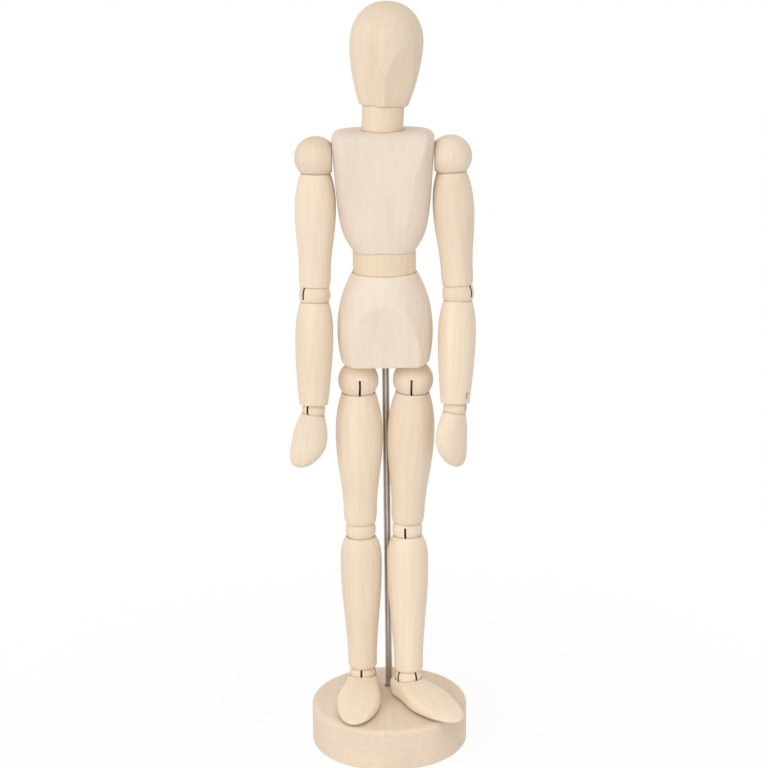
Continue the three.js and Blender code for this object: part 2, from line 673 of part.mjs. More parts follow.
// A direction of one frame as another frame sees it.
function seenFrom(frame, other, direction) {
  const relative = frame.userData.direction.clone().invert().multiply(other.userData.direction);
  return direction.clone().applyQuaternion(relative);
}

const level = new THREE.Quaternion();
const figure = new THREE.Group();
figure.userData.direction = level;

function stand() {
  figure.add(mesh('base', baseSolid(), MATERIALS.base));
  const foot = vec(0, TRUNK_SETBACK + ROD_SETBACK, BASE_HEIGHT - ROD_SOCKET + FIT);
  const rod = frameAt(figure, foot, level);
  const top = HIP_HEIGHT + HIP_DROP + ROD_REACH - foot.z;
  const shaft = bar(vec(0, 0, 0), vec(0, 0, top), ROD_RADIUS, ROD_SIDES);
  rod.add(mesh('support_rod', shaft, MATERIALS.steel));
}

function trunk() {
  const waist = frameAt(figure, vec(0, TRUNK_SETBACK, WAIST_HEIGHT), level);
  waist.add(mesh('pelvis', pelvisSolid(), MATERIALS.pale));
  waist.add(mesh('waist', barrel(WAIST_RADIUS, WAIST_DOME, BARREL_BORE), MATERIALS.barrel));
  const waistCoil = spring(BARREL_BORE - FIT, 2 * (WAIST_DOME - 4 * FIT));
  waist.add(mesh('waist_spring', waistCoil, MATERIALS.steel));
  waist.add(mesh('chest', chestSolid(), MATERIALS.pale));
  const shoulderCoil = spring(TAIL_RADIUS, 2 * (CHEST_SPOT - TAIL_LENGTH));
  const bind = mesh('shoulder_spring', shoulderCoil, MATERIALS.steel);
  bind.position.z = SHOULDER_RISE;
  bind.rotation.y = Math.PI / 2;
  waist.add(bind);
  const neck = frameAt(waist, vec(0, 0, NECK_RISE), attitude(0, HEAD_TILT, -1));
  neck.add(mesh('neck', barrel(NECK_RADIUS, NECK_DOME, NECK_BORE), MATERIALS.barrel));
  const neckCoil = spring(BARREL_BORE - 4 * FIT, 2 * (NECK_DOME - 2 * FIT));
  neck.add(mesh('neck_spring', neckCoil, MATERIALS.steel));
  neck.add(mesh('head', headSolid(), MATERIALS.blond));
  return waist;
}

// A ball joint's ball, pin and link in the frame of the piece that carries the link.
function ballJoint(name, frame, radius, pole, body, pinSide) {
  frame.add(mesh(`${name}_ball`, body, MATERIALS.blond));
  frame.add(mesh(`${name}_pin`, pin(radius, pinSide), MATERIALS.steel));
  frame.add(mesh(`${name}_link`, link(radius, pole), MATERIALS.steel));
}

function arm(side, waist) {
  const label = side < 0 ? 'right' : 'left';
  const pose = POSE[side];
  const twisted = (part, cut) => attitude(part.forward, part.outward, side, cut);

  const shoulderPlace = vec(side * SHOULDER_SPREAD, 0, SHOULDER_RISE);
  const upper = frameAt(waist, shoulderPlace, twisted(pose.upperArm, 0));
  const shoulder = frameAt(waist, shoulderPlace, attitude(pose.upperArm.forward, 0, side, 90 * side));
  const inward = seenFrom(shoulder, waist, vec(-side, 0, 0));
  const spigotEnd = inward.clone().multiplyScalar(SHOULDER_FACE + TAIL_LENGTH);
  const cut = quarterCut(SHOULDER_BALL);
  const shoulderBody = ball(SHOULDER_BALL, [cut], inward, TAIL_LENGTH - SHOULDER_FLAT, -side)
    .subtract(beyond(inward.clone().multiplyScalar(SHOULDER_FACE), inward))
    .add(bar(vec(0, SLOT_FLOOR + FIT, 0), spigotEnd, TAIL_RADIUS));
  shoulder.add(mesh(`${label}_shoulder_ball`, shoulderBody, MATERIALS.blond));
  shoulder.add(mesh(`${label}_shoulder_pin`, pin(SHOULDER_BALL, -side), MATERIALS.steel));
  const shoulderLink = frameAt(waist, shoulderPlace, twisted(pose.upperArm, 90 * side));
  shoulderLink.add(mesh(`${label}_shoulder_link`, link(SHOULDER_BALL, -1), MATERIALS.steel));

  const elbowPlace = vec(0, 0, -UPPER_ARM.length);
  upper.add(mesh(`${label}_upper_arm`, limb(UPPER_ARM, SHOULDER_BALL, ELBOW_BALL, LIMB_POWER, waisted)
    .subtract(bore(SHOULDER_BALL, vec(0, 0, 0), DOWN))
    .subtract(bore(ELBOW_BALL, elbowPlace, UP)), MATERIALS.blond));
  const elbow = frameAt(upper, elbowPlace, twisted(pose.upperArm, pose.cuts.elbow));
  const lower = frameAt(upper, elbowPlace, twisted(pose.forearm, 0));
  const elbowDown = seenFrom(elbow, lower, DOWN);
  const elbowBody = ball(ELBOW_BALL, [halfCut(ELBOW_BALL, 1)], elbowDown, TAIL_LENGTH, -side);
  ballJoint(`${label}_elbow`, elbow, ELBOW_BALL, 1, elbowBody, -side);

  const wristPlace = vec(0, 0, -FOREARM.length);
  lower.add(mesh(`${label}_forearm`, limb(FOREARM, ELBOW_BALL, WRIST_BALL, LIMB_POWER, tapered)
    .subtract(bore(ELBOW_BALL, vec(0, 0, 0), DOWN))
    .subtract(bore(WRIST_BALL, wristPlace, UP)), MATERIALS.blond));
  const wrist = frameAt(lower, wristPlace, twisted(pose.forearm, pose.cuts.wrist));
  const palm = frameAt(lower, wristPlace, twisted(pose.hand, pose.hand.twist));
  const wristDown = seenFrom(wrist, palm, DOWN);
  const wristBody = ball(WRIST_BALL, [halfCut(WRIST_BALL, 1)], wristDown, TAIL_LENGTH, -side);
  ballJoint(`${label}_wrist`, wrist, WRIST_BALL, 1, wristBody, -side);
  palm.add(mesh(`${label}_hand`, handSolid(side), MATERIALS.blond));
}

function leg(side, waist) {
  const label = side < 0 ? 'right' : 'left';
  const pose = POSE[side];
  const twisted = (part, cut) => attitude(part.forward, part.outward, side, cut);

  const hipPlace = vec(side * HIP_SPREAD, 0, -PELVIS_DROP - HIP_DROP);
  const thigh = frameAt(waist, hipPlace, twisted(pose.thigh, 0));
  const hip = frameAt(thigh, vec(0, 0, 0), twisted(pose.thigh, pose.cuts.hip));
  const hipBody = ball(HIP_BALL, [halfCut(HIP_BALL, -1)], seenFrom(hip, figure, UP), TAIL_LENGTH, side);
  ballJoint(`${label}_hip`, hip, HIP_BALL, -1, hipBody, side);

  const kneePlace = vec(0, 0, -THIGH.length);
  const shin = frameAt(thigh, kneePlace, twisted(pose.shin, 0));
  const kneeUp = seenFrom(thigh, figure, UP);
  thigh.add(mesh(`${label}_thigh`, limb(THIGH, HIP_BALL, KNEE_BALL, LIMB_POWER, waisted)
    .subtract(bore(HIP_BALL, vec(0, 0, 0), DOWN))
    .subtract(bore(KNEE_BALL, kneePlace, kneeUp)), MATERIALS.blond));
  const knee = frameAt(shin, vec(0, 0, 0), twisted(pose.shin, pose.cuts.knee));
  const swivelUp = seenFrom(knee, figure, UP);
  const kneeBody = ball(KNEE_BALL, [halfCut(KNEE_BALL, -1)], swivelUp, TAIL_LENGTH, side);
  ballJoint(`${label}_knee`, knee, KNEE_BALL, -1, kneeBody, side);

  const anklePlace = vec(0, 0, -SHIN.length);
  shin.add(mesh(`${label}_shin`, limb(SHIN, KNEE_BALL, ANKLE_BALL, CALF_POWER, waisted)
    .subtract(bore(KNEE_BALL, vec(0, 0, 0), DOWN))
    .subtract(bore(ANKLE_BALL, anklePlace, UP)), MATERIALS.blond));
  const ankle = frameAt(shin, anklePlace, twisted(pose.shin, pose.foot));
  const foot = frameAt(shin, anklePlace, attitude(0, 0, side, pose.foot));
  const cuts = [halfCut(ANKLE_BALL, 1), halfCut(ANKLE_BALL, 1).rotate([0, 0, 90])];
  const ankleBody = ball(ANKLE_BALL, cuts, seenFrom(ankle, foot, DOWN), ANKLE_SPIGOT, side);
  ballJoint(`${label}_ankle`, ankle, ANKLE_BALL, 1, ankleBody, side);
  foot.add(mesh(`${label}_foot`, footSolid(), MATERIALS.blond));
}

stand();
const waist = trunk();
for (const side of [-1, 1]) {
  arm(side, waist);
  leg(side, waist);
}

export default figure;
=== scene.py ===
"""Looks of a jointed wooden drawing figure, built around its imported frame.

Every wooden piece is turned or lofted again with fine surfaces where its joints say, and gets sanded
wood whose grain runs along the piece. Sizes are in millimetres until a mesh is made in metres.
"""

import json
import logging
import math
from dataclasses import dataclass
from enum import Enum
from typing import Callable, ClassVar, Iterable

import bmesh
import bpy
from mathutils import Matrix, Vector

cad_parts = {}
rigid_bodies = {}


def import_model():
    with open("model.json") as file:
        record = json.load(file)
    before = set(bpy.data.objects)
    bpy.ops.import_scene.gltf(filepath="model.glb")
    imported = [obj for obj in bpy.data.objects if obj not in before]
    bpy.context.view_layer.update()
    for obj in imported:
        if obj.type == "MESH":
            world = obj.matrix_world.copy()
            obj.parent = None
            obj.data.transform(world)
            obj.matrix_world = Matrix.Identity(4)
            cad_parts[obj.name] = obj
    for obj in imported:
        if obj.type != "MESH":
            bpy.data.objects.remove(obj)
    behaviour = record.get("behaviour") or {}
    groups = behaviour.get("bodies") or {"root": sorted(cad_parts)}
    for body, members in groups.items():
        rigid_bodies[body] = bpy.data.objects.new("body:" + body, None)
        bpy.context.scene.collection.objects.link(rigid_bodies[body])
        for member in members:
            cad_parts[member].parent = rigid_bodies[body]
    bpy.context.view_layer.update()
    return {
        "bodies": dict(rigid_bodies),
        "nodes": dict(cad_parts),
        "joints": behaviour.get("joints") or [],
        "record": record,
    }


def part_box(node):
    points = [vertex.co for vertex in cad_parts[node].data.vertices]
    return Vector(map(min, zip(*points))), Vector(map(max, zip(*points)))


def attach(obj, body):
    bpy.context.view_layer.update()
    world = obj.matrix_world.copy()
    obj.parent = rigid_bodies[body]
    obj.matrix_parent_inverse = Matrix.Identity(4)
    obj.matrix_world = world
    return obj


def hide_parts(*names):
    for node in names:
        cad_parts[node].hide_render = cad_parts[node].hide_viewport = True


LOG = logging.getLogger("mannequin")
MM = 0.001
FIT = 0.3
POLE = 1e-4
QUARTER_TURN = math.pi / 2.0
RIGHTWARD = Vector((1.0, 0.0, 0.0))
UPWARD = Vector((0.0, 0.0, 1.0))

Point = tuple[float, float]
Triple = tuple[float, float, float]
Profile = list[Point]


class Side(Enum):
    """The figure's own right and left, with the sign of their X."""

    RIGHT = -1
    LEFT = 1

    @property
    def label(self) -> str:
        """The word that the frame's names start with."""
        return self.name.lower()


class Opening(Enum):
    """Which way a ball's saw cut opens."""

    UP = 1
    DOWN = -1
    QUARTER = 0


class Slot(Enum):
    """The record's material slots."""

    PALE = "pale_wood"
    BLOND = "blond_wood"
    BARREL = "barrel_wood"
    BASE = "base_wood"
    STEEL = "steel"


def arithmetic(
    tree: bpy.types.NodeTree, operation: str, *terms: bpy.types.NodeSocket | float
) -> bpy.types.NodeSocket:
    """Adds a sum, product or the like of sockets and numbers.

    Args:
        tree: The node tree.
        operation: Blender's name of the operation.
        *terms: Sockets or numbers in the operation's order.

    Returns:
        The result's socket.
    """
    node = tree.nodes.new("ShaderNodeMath")
    node.operation = operation
    for entry, term in zip(node.inputs, terms):
        if isinstance(term, (int, float)):
            entry.default_value = term
        else:
            tree.links.new(term, entry)
    return node.outputs["Value"]


def remap(
    tree: bpy.types.NodeTree, value: bpy.types.NodeSocket, target: Point, source: Point = (0.0, 1.0)
) -> bpy.types.NodeSocket:
    """Adds a node that maps one range of a value to another.

    Args:
        tree: The node tree.
        value: The value's socket.
        target: The range that goes out.
        source: The range that comes in.

    Returns:
        The result's socket.
    """
    node = tree.nodes.new("ShaderNodeMapRange")
    for name, number in zip(("From Min", "From Max", "To Min", "To Max"), (*source, *target)):
        node.inputs[name].default_value = number
    tree.links.new(value, node.inputs["Value"])
    return node.outputs["Result"]


def ramp(
    tree: bpy.types.NodeTree,
    value: bpy.types.NodeSocket,
    colours: tuple[Triple, Triple],
    span: Point = (0.0, 1.0),
) -> bpy.types.NodeSocket:
    """Adds a colour that runs between two tones.

    Args:
        tree: The node tree.
        value: The socket that picks the tone.
        colours: The tones at its low and high end.
        span: Where on the value those ends lie.

    Returns:
        The colour's socket.
    """
    node = tree.nodes.new("ShaderNodeValToRGB")
    for element, place, colour in zip(node.color_ramp.elements, span, colours):
        element.position = place
        element.color = (*colour, 1.0)
    tree.links.new(value, node.inputs["Fac"])
    return node.outputs["Color"]


@dataclass(frozen=True)
class NoiseLayer:
    """A noise that is drawn out along the grain, with its scale in lines per metre."""

    scale: float
    stretch: Triple
    detail: float
    rough: float = 0.5

    def add(self, tree: bpy.types.NodeTree, place: bpy.types.NodeSocket) -> bpy.types.NodeSocket:
        """Adds the noise to a material.

        Args:
            tree: The material's node tree.
            place: The piece's own coordinates.

        Returns:
            The noise value's socket.
        """
        mapping = tree.nodes.new("ShaderNodeMapping")
        mapping.inputs["Scale"].default_value = self.stretch
        tree.links.new(place, mapping.inputs["Vector"])
        noise = tree.nodes.new("ShaderNodeTexNoise")
        noise.inputs["Scale"].default_value = self.scale
        noise.inputs["Detail"].default_value = self.detail
        noise.inputs["Roughness"].default_value = self.rough
        tree.links.new(mapping.outputs["Vector"], noise.inputs["Vector"])
        return noise.outputs["Fac"]


@dataclass(frozen=True)
class WoodFinish:
    """Sanded bare wood, with tones in linear colour."""

    name: str
    light: Triple
    dark: Triple
    roughness: float = 0.56
    bump: float = 0.09
    fibres: NoiseLayer = NoiseLayer(520.0, (1.0, 1.0, 0.045), 6.0, 0.62)
    figure: NoiseLayer = NoiseLayer(85.0, (1.0, 0.35, 0.10), 3.0)
    pores: NoiseLayer = NoiseLayer(2600.0, (1.0, 1.0, 0.05), 2.0)
    cloud: NoiseLayer = NoiseLayer(45.0, (1.0, 1.0, 0.5), 2.0)
    fibre_share: float = 0.62
    tone_span: Point = (0.33, 0.68)
    pore_span: Point = (0.60, 0.74)
    pore_shade: Point = (1.0, 0.95)
    cloud_span: Point = (0.30, 0.70)
    cloud_shade: Point = (0.955, 1.03)
    gloss_shift: Point = (-0.07, 0.09)
    relief_height: float = 0.15
    specular: float = 0.32

    def material(self) -> bpy.types.Material:
        """Builds the node material.

        Returns:
            A material that reads the piece's own grain and tone attributes.
        """
        material = bpy.data.materials.new(self.name)
        material.use_nodes = True
        tree = material.node_tree
        shader = tree.nodes["Principled BSDF"]
        grain = tree.nodes.new("ShaderNodeAttribute")
        grain.attribute_name = "grain"
        tone = tree.nodes.new("ShaderNodeAttribute")
        tone.attribute_name = "tone"
        fibres, figure, pores, cloud = (
            layer.add(tree, grain.outputs["Vector"])
            for layer in (self.fibres, self.figure, self.pores, self.cloud)
        )

        faint = arithmetic(tree, "MULTIPLY", figure, 1.0 - self.fibre_share)
        blend = arithmetic(tree, "MULTIPLY_ADD", fibres, self.fibre_share, faint)
        flecks = remap(tree, pores, self.pore_shade, self.pore_span)
        drift = remap(tree, cloud, self.cloud_shade, self.cloud_span)
        shade = arithmetic(tree, "MULTIPLY", flecks, drift)
        tint = tree.nodes.new("ShaderNodeHueSaturation")
        tree.links.new(ramp(tree, blend, (self.dark, self.light), self.tone_span), tint.inputs["Color"])
        tree.links.new(arithmetic(tree, "MULTIPLY", shade, tone.outputs["Fac"]), tint.inputs["Value"])
        tree.links.new(tint.outputs["Color"], shader.inputs["Base Color"])

        gloss = tuple(self.roughness + shift for shift in self.gloss_shift)
        tree.links.new(remap(tree, fibres, gloss), shader.inputs["Roughness"])
        relief = tree.nodes.new("ShaderNodeBump")
        relief.inputs["Strength"].default_value = self.bump
        relief.inputs["Distance"].default_value = self.relief_height * MM
        tree.links.new(blend, relief.inputs["Height"])
        tree.links.new(relief.outputs["Normal"], shader.inputs["Normal"])
        shader.inputs["Specular IOR Level"].default_value = self.specular
        return material


@dataclass(frozen=True)
class SteelFinish:
    """Drawn steel with fine marks along the wire."""

    name: str = "drawn_steel"
    colour: Triple = (0.62, 0.59, 0.55)
    shadow: float = 0.72
    roughness: float = 0.26
    gloss_shift: Point = (-0.08, 0.12)
    marks: NoiseLayer = NoiseLayer(3200.0, (1.0, 1.0, 0.02), 3.0)

    def material(self) -> bpy.types.Material:
        """Builds the node material.

        Returns:
            A metal whose gloss varies in fine lines along Z.
        """
        material = bpy.data.materials.new(self.name)
        material.use_nodes = True
        tree = material.node_tree
        shader = tree.nodes["Principled BSDF"]
        shader.inputs["Metallic"].default_value = 1.0
        place = tree.nodes.new("ShaderNodeTexCoord")
        marks = self.marks.add(tree, place.outputs["Object"])
        dark = tuple(self.shadow * part for part in self.colour)
        tree.links.new(ramp(tree, marks, (dark, self.colour)), shader.inputs["Base Color"])
        gloss = tuple(self.roughness + shift for shift in self.gloss_shift)
        tree.links.new(remap(tree, marks, gloss), shader.inputs["Roughness"])
        return material


WOODS: dict[Slot, WoodFinish] = {
    Slot.PALE: WoodFinish("pale_sanded_wood", (0.865, 0.755, 0.635), (0.81, 0.685, 0.555)),
    Slot.BLOND: WoodFinish("blond_sanded_wood", (0.865, 0.73, 0.57), (0.79, 0.64, 0.475)),
    Slot.BARREL: WoodFinish("warm_sanded_wood", (0.87, 0.715, 0.535), (0.80, 0.63, 0.45)),
    Slot.BASE: WoodFinish("turned_base_wood", (0.797, 0.66, 0.523), (0.722, 0.576, 0.435)),
}
# Painted shade: a near-black wood for the walls of saw cuts, the nail slit and the rod's hole, standing in
# for the shade inside them.
CUT_SHADE = WoodFinish("sawn_edge", (0.09, 0.055, 0.03), (0.06, 0.035, 0.02), roughness=0.85, bump=0.3)

TAPER_POWER = 1.6


def between(start: float, end: float, share: float) -> float:
    """The value at a share of the way from start to end."""
    return start + (end - start) * share


def swell(share: float, power: float) -> float:
    """Rises from 0 to 1, quickly at first, as turned shoulders do."""
    return 1.0 - (1.0 - share) ** power


def waisted(share: float) -> float:
    """Rises from 0 to 1 with a level start and end."""
    return (1.0 - math.cos(share * math.pi)) / 2.0


def tapered(share: float) -> float:
    """Rises from 0 to 1, slowly at first."""
    return share**TAPER_POWER


def squared(part: float, power: float) -> float:
    """A sine or cosine, drawn towards the sides of a square."""
    return math.copysign(abs(part) ** (2.0 / power), part)


def steps(count: int) -> list[float]:
    """The shares 0 to 1 in equal steps."""
    return [step / count for step in range(count + 1)]


def angles(sides: int) -> list[float]:
    """Equal angles once round, in radians."""
    return [math.tau * step / sides for step in range(sides)]


def arc(centre: Point, radius: float, start: float, end: float, count: int) -> Profile:
    """Points on a circle.

    Args:
        centre: Its centre.
        radius: Its radius.
        start: First angle in degrees.
        end: Last angle in degrees.
        count: Number of steps.

    Returns:
        The points, first to last.
    """
    points = []
    for share in steps(count):
        angle = math.radians(between(start, end, share))
        points.append((centre[0] + radius * math.cos(angle), centre[1] + radius * math.sin(angle)))
    return points


def superellipse(width: float, depth: float, power: float, sides: int) -> Profile:
    """A closed outline between an ellipse and a rectangle, counter-clockwise.

    Args:
        width: Half of its width.
        depth: Half of its depth.
        power: 2 for an ellipse, more for a squarer form.
        sides: Number of points.

    Returns:
        The points.
    """
    return [
        (width * squared(math.cos(angle), power), depth * squared(math.sin(angle), power))
        for angle in angles(sides)
    ]


def smooth_through(knots: Profile, x: float) -> float:
    """A smooth curve's height at x, through knots with rising x.

    Args:
        knots: The curve's points.
        x: Where to read it.

    Returns:
        The height there.
    """
    slopes = []
    for place in range(len(knots)):
        before, after = knots[max(place - 1, 0)], knots[min(place + 1, len(knots) - 1)]
        slopes.append((after[1] - before[1]) / (after[0] - before[0]))
    piece = 0
    while piece < len(knots) - 2 and x > knots[piece + 1][0]:
        piece += 1
    left, right = knots[piece], knots[piece + 1]
    start, end = slopes[piece], slopes[piece + 1]
    span = right[0] - left[0]
    t = (x - left[0]) / span
    ease = t * t * (3.0 - 2.0 * t)
    lift = span * (start * t * (1.0 - t) ** 2 - end * t * t * (1.0 - t))
    return left[1] + (right[1] - left[1]) * ease + lift


class Maker:
    """Mesh tools that every sub-assembly shares."""

    sides = 72
    seat_sides = 96
    rub_factor = 0.5
    edge_segments = 3
    cutter_reach = 80.0

    @staticmethod
    def skin(name: str, rings: list[list[Vector]], at: Matrix) -> bpy.types.Object:
        """A closed skin through rings, each end closed by a fan to its middle.

        Args:
            name: Name of the object.
            rings: Rings in millimetres, counter-clockwise seen from the last one; a pole has one point.
            at: Place and direction of the piece, in metres.

        Returns:
            The object, with its place in its mesh.
        """
        mesh = bpy.data.meshes.new(name)
        work = bmesh.new()
        grid = [[work.verts.new(at @ (point * MM)) for point in ring] for ring in rings]
        for low, high in zip(grid, grid[1:]):
            sides = max(len(low), len(high))
            for side in range(sides):
                after = (side + 1) % sides
                corners = [low[place % len(low)] for place in (side, after)]
                corners += [high[place % len(high)] for place in (after, side)]
                work.faces.new(tuple(dict.fromkeys(corners)))
        for ring, flip in ((grid[0], True), (grid[-1], False)):
            if len(ring) == 1:
                continue
            middle = work.verts.new(sum((vert.co for vert in ring), Vector()) / len(ring))
            for side in range(len(ring)):
                pair = (ring[side], ring[(side + 1) % len(ring)])
                work.faces.new((*(reversed(pair) if flip else pair), middle))
        bmesh.ops.recalc_face_normals(work, faces=work.faces)
        work.to_mesh(mesh)
        work.free()
        piece = bpy.data.objects.new(name, mesh)
        bpy.context.scene.collection.objects.link(piece)
        return piece

    @classmethod
    def turn(cls, name: str, profile: Profile, at: Matrix, sides: int = sides) -> bpy.types.Object:
        """A turned piece.

        Args:
            name: Name of the object.
            profile: Radius and height, from the lower axis point up the outside to the upper one.
            at: Place and direction of the piece.
            sides: Facets round the axis.

        Returns:
            The object.
        """
        spokes = [(math.cos(angle), math.sin(angle)) for angle in angles(sides)]
        rings = []
        for radius, height in profile:
            around = spokes if radius > POLE else [(0.0, 0.0)]
            rings.append([Vector((radius * c, radius * s, height)) for c, s in around])
        return cls.skin(name, rings, at)

    @classmethod
    def ball(cls, name: str, radius: float, at: Matrix, sides: int = sides) -> bpy.types.Object:
        """A whole ball of that radius."""
        return cls.turn(name, arc((0.0, 0.0), radius, -90.0, 90.0, sides // 2), at, sides)

    @classmethod
    def disc(cls, name: str, radius: float, heights: Point, at: Matrix, sides: int) -> bpy.types.Object:
        """A plain cylinder between two heights."""
        low, high = heights
        return cls.turn(name, [(0.0, low), (radius, low), (radius, high), (0.0, high)], at, sides)

    @classmethod
    def block(cls, name: str, low: Vector, high: Vector, at: Matrix) -> bpy.types.Object:
        """A box between two corners, for cutting.

        Args:
            name: Name of the object.
            low: Its least corner in millimetres.
            high: Its greatest corner.
            at: Its place and direction.

        Returns:
            The box.
        """
        corners = ((low.x, low.y), (high.x, low.y), (high.x, high.y), (low.x, high.y))
        rings = [[Vector((x, y, height)) for x, y in corners] for height in (low.z, high.z)]
        return cls.skin(name, rings, at)

    @classmethod
    def beyond(cls, point: Vector, normal: Vector, at: Matrix) -> bpy.types.Object:
        """Everything past a plane, for planing a flat.

        Args:
            point: A point of the plane in the piece's frame, in millimetres.
            normal: Direction that is cut away.
            at: The piece's place and direction.

        Returns:
            The cutter.
        """
        turn = UPWARD.rotation_difference(normal).to_matrix().to_4x4()
        reach = cls.cutter_reach
        low, high = Vector((-reach, -reach, 0.0)), Vector((reach, reach, reach))
        return cls.block("cutter", low, high, cls.shifted(at, point) @ turn)

    @staticmethod
    def shifted(at: Matrix, way: Iterable[float]) -> Matrix:
        """A frame moved along its own axes by millimetres."""
        return at @ Matrix.Translation(Vector(way) * MM)

    @staticmethod
    def settle(piece: bpy.types.Object) -> bpy.types.Object:
        """Turns a piece's modifiers into plain mesh.

        Args:
            piece: The piece.

        Returns:
            The piece.
        """
        graph = bpy.context.evaluated_depsgraph_get()
        mesh = bpy.data.meshes.new_from_object(piece.evaluated_get(graph))
        piece.modifiers.clear()
        old = piece.data
        piece.data = mesh
        bpy.data.meshes.remove(old)
        return piece

    @classmethod
    def carve(cls, piece: bpy.types.Object, cutters: Iterable[bpy.types.Object]) -> bpy.types.Object:
        """Cuts other shapes out of a piece.

        Args:
            piece: The piece.
            cutters: Shapes to cut away, which are deleted.

        Returns:
            The piece.
        """
        for cutter in list(cutters):
            cut = piece.modifiers.new("cut", "BOOLEAN")
            cut.operation = "DIFFERENCE"
            cut.solver = "EXACT"
            cut.material_mode = "TRANSFER"
            cut.object = cutter
            cls.settle(piece)
            spare = cutter.data
            bpy.data.objects.remove(cutter)
            bpy.data.meshes.remove(spare)
        return piece

    @classmethod
    def soften(cls, piece: bpy.types.Object, voxel: float, rounds: int) -> bpy.types.Object:
        """Sands a piece: an even mesh whose ridges are rounded.

        Args:
            piece: The piece.
            voxel: Mesh size in millimetres.
            rounds: How far the ridges are rubbed down.

        Returns:
            The piece.
        """
        even = piece.modifiers.new("even", "REMESH")
        even.mode = "VOXEL"
        even.voxel_size = voxel * MM
        rub = piece.modifiers.new("rub", "SMOOTH")
        rub.factor = cls.rub_factor
        rub.iterations = rounds
        return cls.settle(piece)

    @classmethod
    def ease(cls, piece: bpy.types.Object, width: float, angle: float) -> bpy.types.Object:
        """Breaks a piece's sharp edges.

        Args:
            piece: The piece.
            width: Width of the broken edge in millimetres.
            angle: Least angle of a sharp edge, in degrees.

        Returns:
            The piece.
        """
        edge = piece.modifiers.new("edge", "BEVEL")
        edge.width = width * MM
        edge.segments = cls.edge_segments
        edge.limit_method = "ANGLE"
        edge.angle_limit = math.radians(angle)
        return cls.settle(piece)


class Wardrobe:
    """Gives pieces their finish and their body."""

    grain_step = (0.137, 0.291, 0.533)
    tone_step = 0.618
    tone_least = 0.975
    tone_span = 0.05

    def __init__(self, frame: dict) -> None:
        """Builds the finishes.
        """
        self.frame = frame
        self.woods = {slot: finish.material() for slot, finish in WOODS.items()}
        # The painted shade for the walls of cuts.
        self.sawn = CUT_SHADE.material()
        self.steel = SteelFinish().material()
        self.body_of = {
            node: body
            for body, nodes in frame["record"]["behaviour"]["bodies"].items()
            for node in nodes
        }
        self.count = 0

    def saw(self, piece: bpy.types.Object, slot: Slot, cutters: list[bpy.types.Object]) -> None:
        """Cuts a piece and paints the cut's walls near-black, as painted shade for the shade inside the
        narrow cut.

        Args:
            piece: The piece.
            slot: Its own material slot.
            cutters: Shapes to cut away.
        """
        for cutter in cutters:
            # The cutters carry the dark painted shade, which the boolean hands on to the cut's walls.
            cutter.data.materials.append(self.sawn)
        piece.data.materials.append(self.woods[slot])
        Maker.carve(piece, cutters)

    def wear(self, piece: bpy.types.Object, node: str, slot: Slot, at: Matrix) -> None:
        """Dresses a piece that stands for a node of the frame.

        Args:
            piece: The piece.
            node: The node that it stands for.
            slot: Its material slot.
            at: The frame whose Z the grain follows.
        """
        piece.name = f"{node}_turned" if slot is not Slot.STEEL else f"{node}_drawn"
        mesh = piece.data
        mesh.name = piece.name
        if not mesh.materials:
            mesh.materials.append(None)
        mesh.materials[0] = self.steel if slot is Slot.STEEL else self.woods[slot]
        mesh.shade_smooth()
        self._mark_grain(mesh, at)
        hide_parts(node)
        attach(piece, self.body_of[node])
        LOG.info("%s: %d faces", piece.name, len(mesh.polygons))

    def _mark_grain(self, mesh: bpy.types.Mesh, at: Matrix) -> None:
        """Stores each point's place along and across the piece, and the piece's own tone.

        Args:
            mesh: The piece's mesh.
            at: The frame whose Z the grain follows.
        """
        self.count += 1
        shift = Vector([step * self.count % 1.0 for step in self.grain_step])
        back = at.inverted()
        places = [part for vert in mesh.vertices for part in back @ vert.co + shift]
        grain = mesh.attributes.new("grain", "FLOAT_VECTOR", "POINT")
        grain.data.foreach_set("vector", places)
        tone = mesh.attributes.new("tone", "FLOAT", "POINT")
        level = self.tone_least + self.tone_span * (self.tone_step * self.count % 1.0)
        tone.data.foreach_set("value", [level] * len(mesh.vertices))

    def keep(self, nodes: Iterable[str]) -> None:
        """Leaves hidden steel nodes as they are, with the steel finish.

        Args:
            nodes: Their names.
        """
        for node in nodes:
            mesh = self.frame["nodes"][node].data
            mesh.materials.clear()
            mesh.materials.append(self.steel)


class Skeleton:
    """Joint places and directions, read from the frame's record."""

    def __init__(self, frame: dict) -> None:
        """Keeps the joints by name."""
        self.joints = {joint["name"]: joint for joint in frame["record"]["behaviour"]["joints"]}

    def place(self, joint: str) -> Vector:
        """A joint's place in metres."""
        return Vector(self.joints[joint]["pos_m"])

    def axis(self, joint: str) -> Vector:
        """A joint's axis."""
        return Vector(self.joints[joint]["axis"]).normalized()

    @staticmethod
    def frame_at(place: Vector, up: Vector, right: Vector) -> Matrix:
        """A piece's frame.

        Args:
            place: Its place in metres.
            up: Its upward direction.
            right: A rough direction of its X.

        Returns:
            The frame.
        """
        ahead = up.cross(right).normalized()
        across = ahead.cross(up).normalized()
        turn = Matrix((across, ahead, up)).transposed().to_4x4()
        return Matrix.Translation(place) @ turn


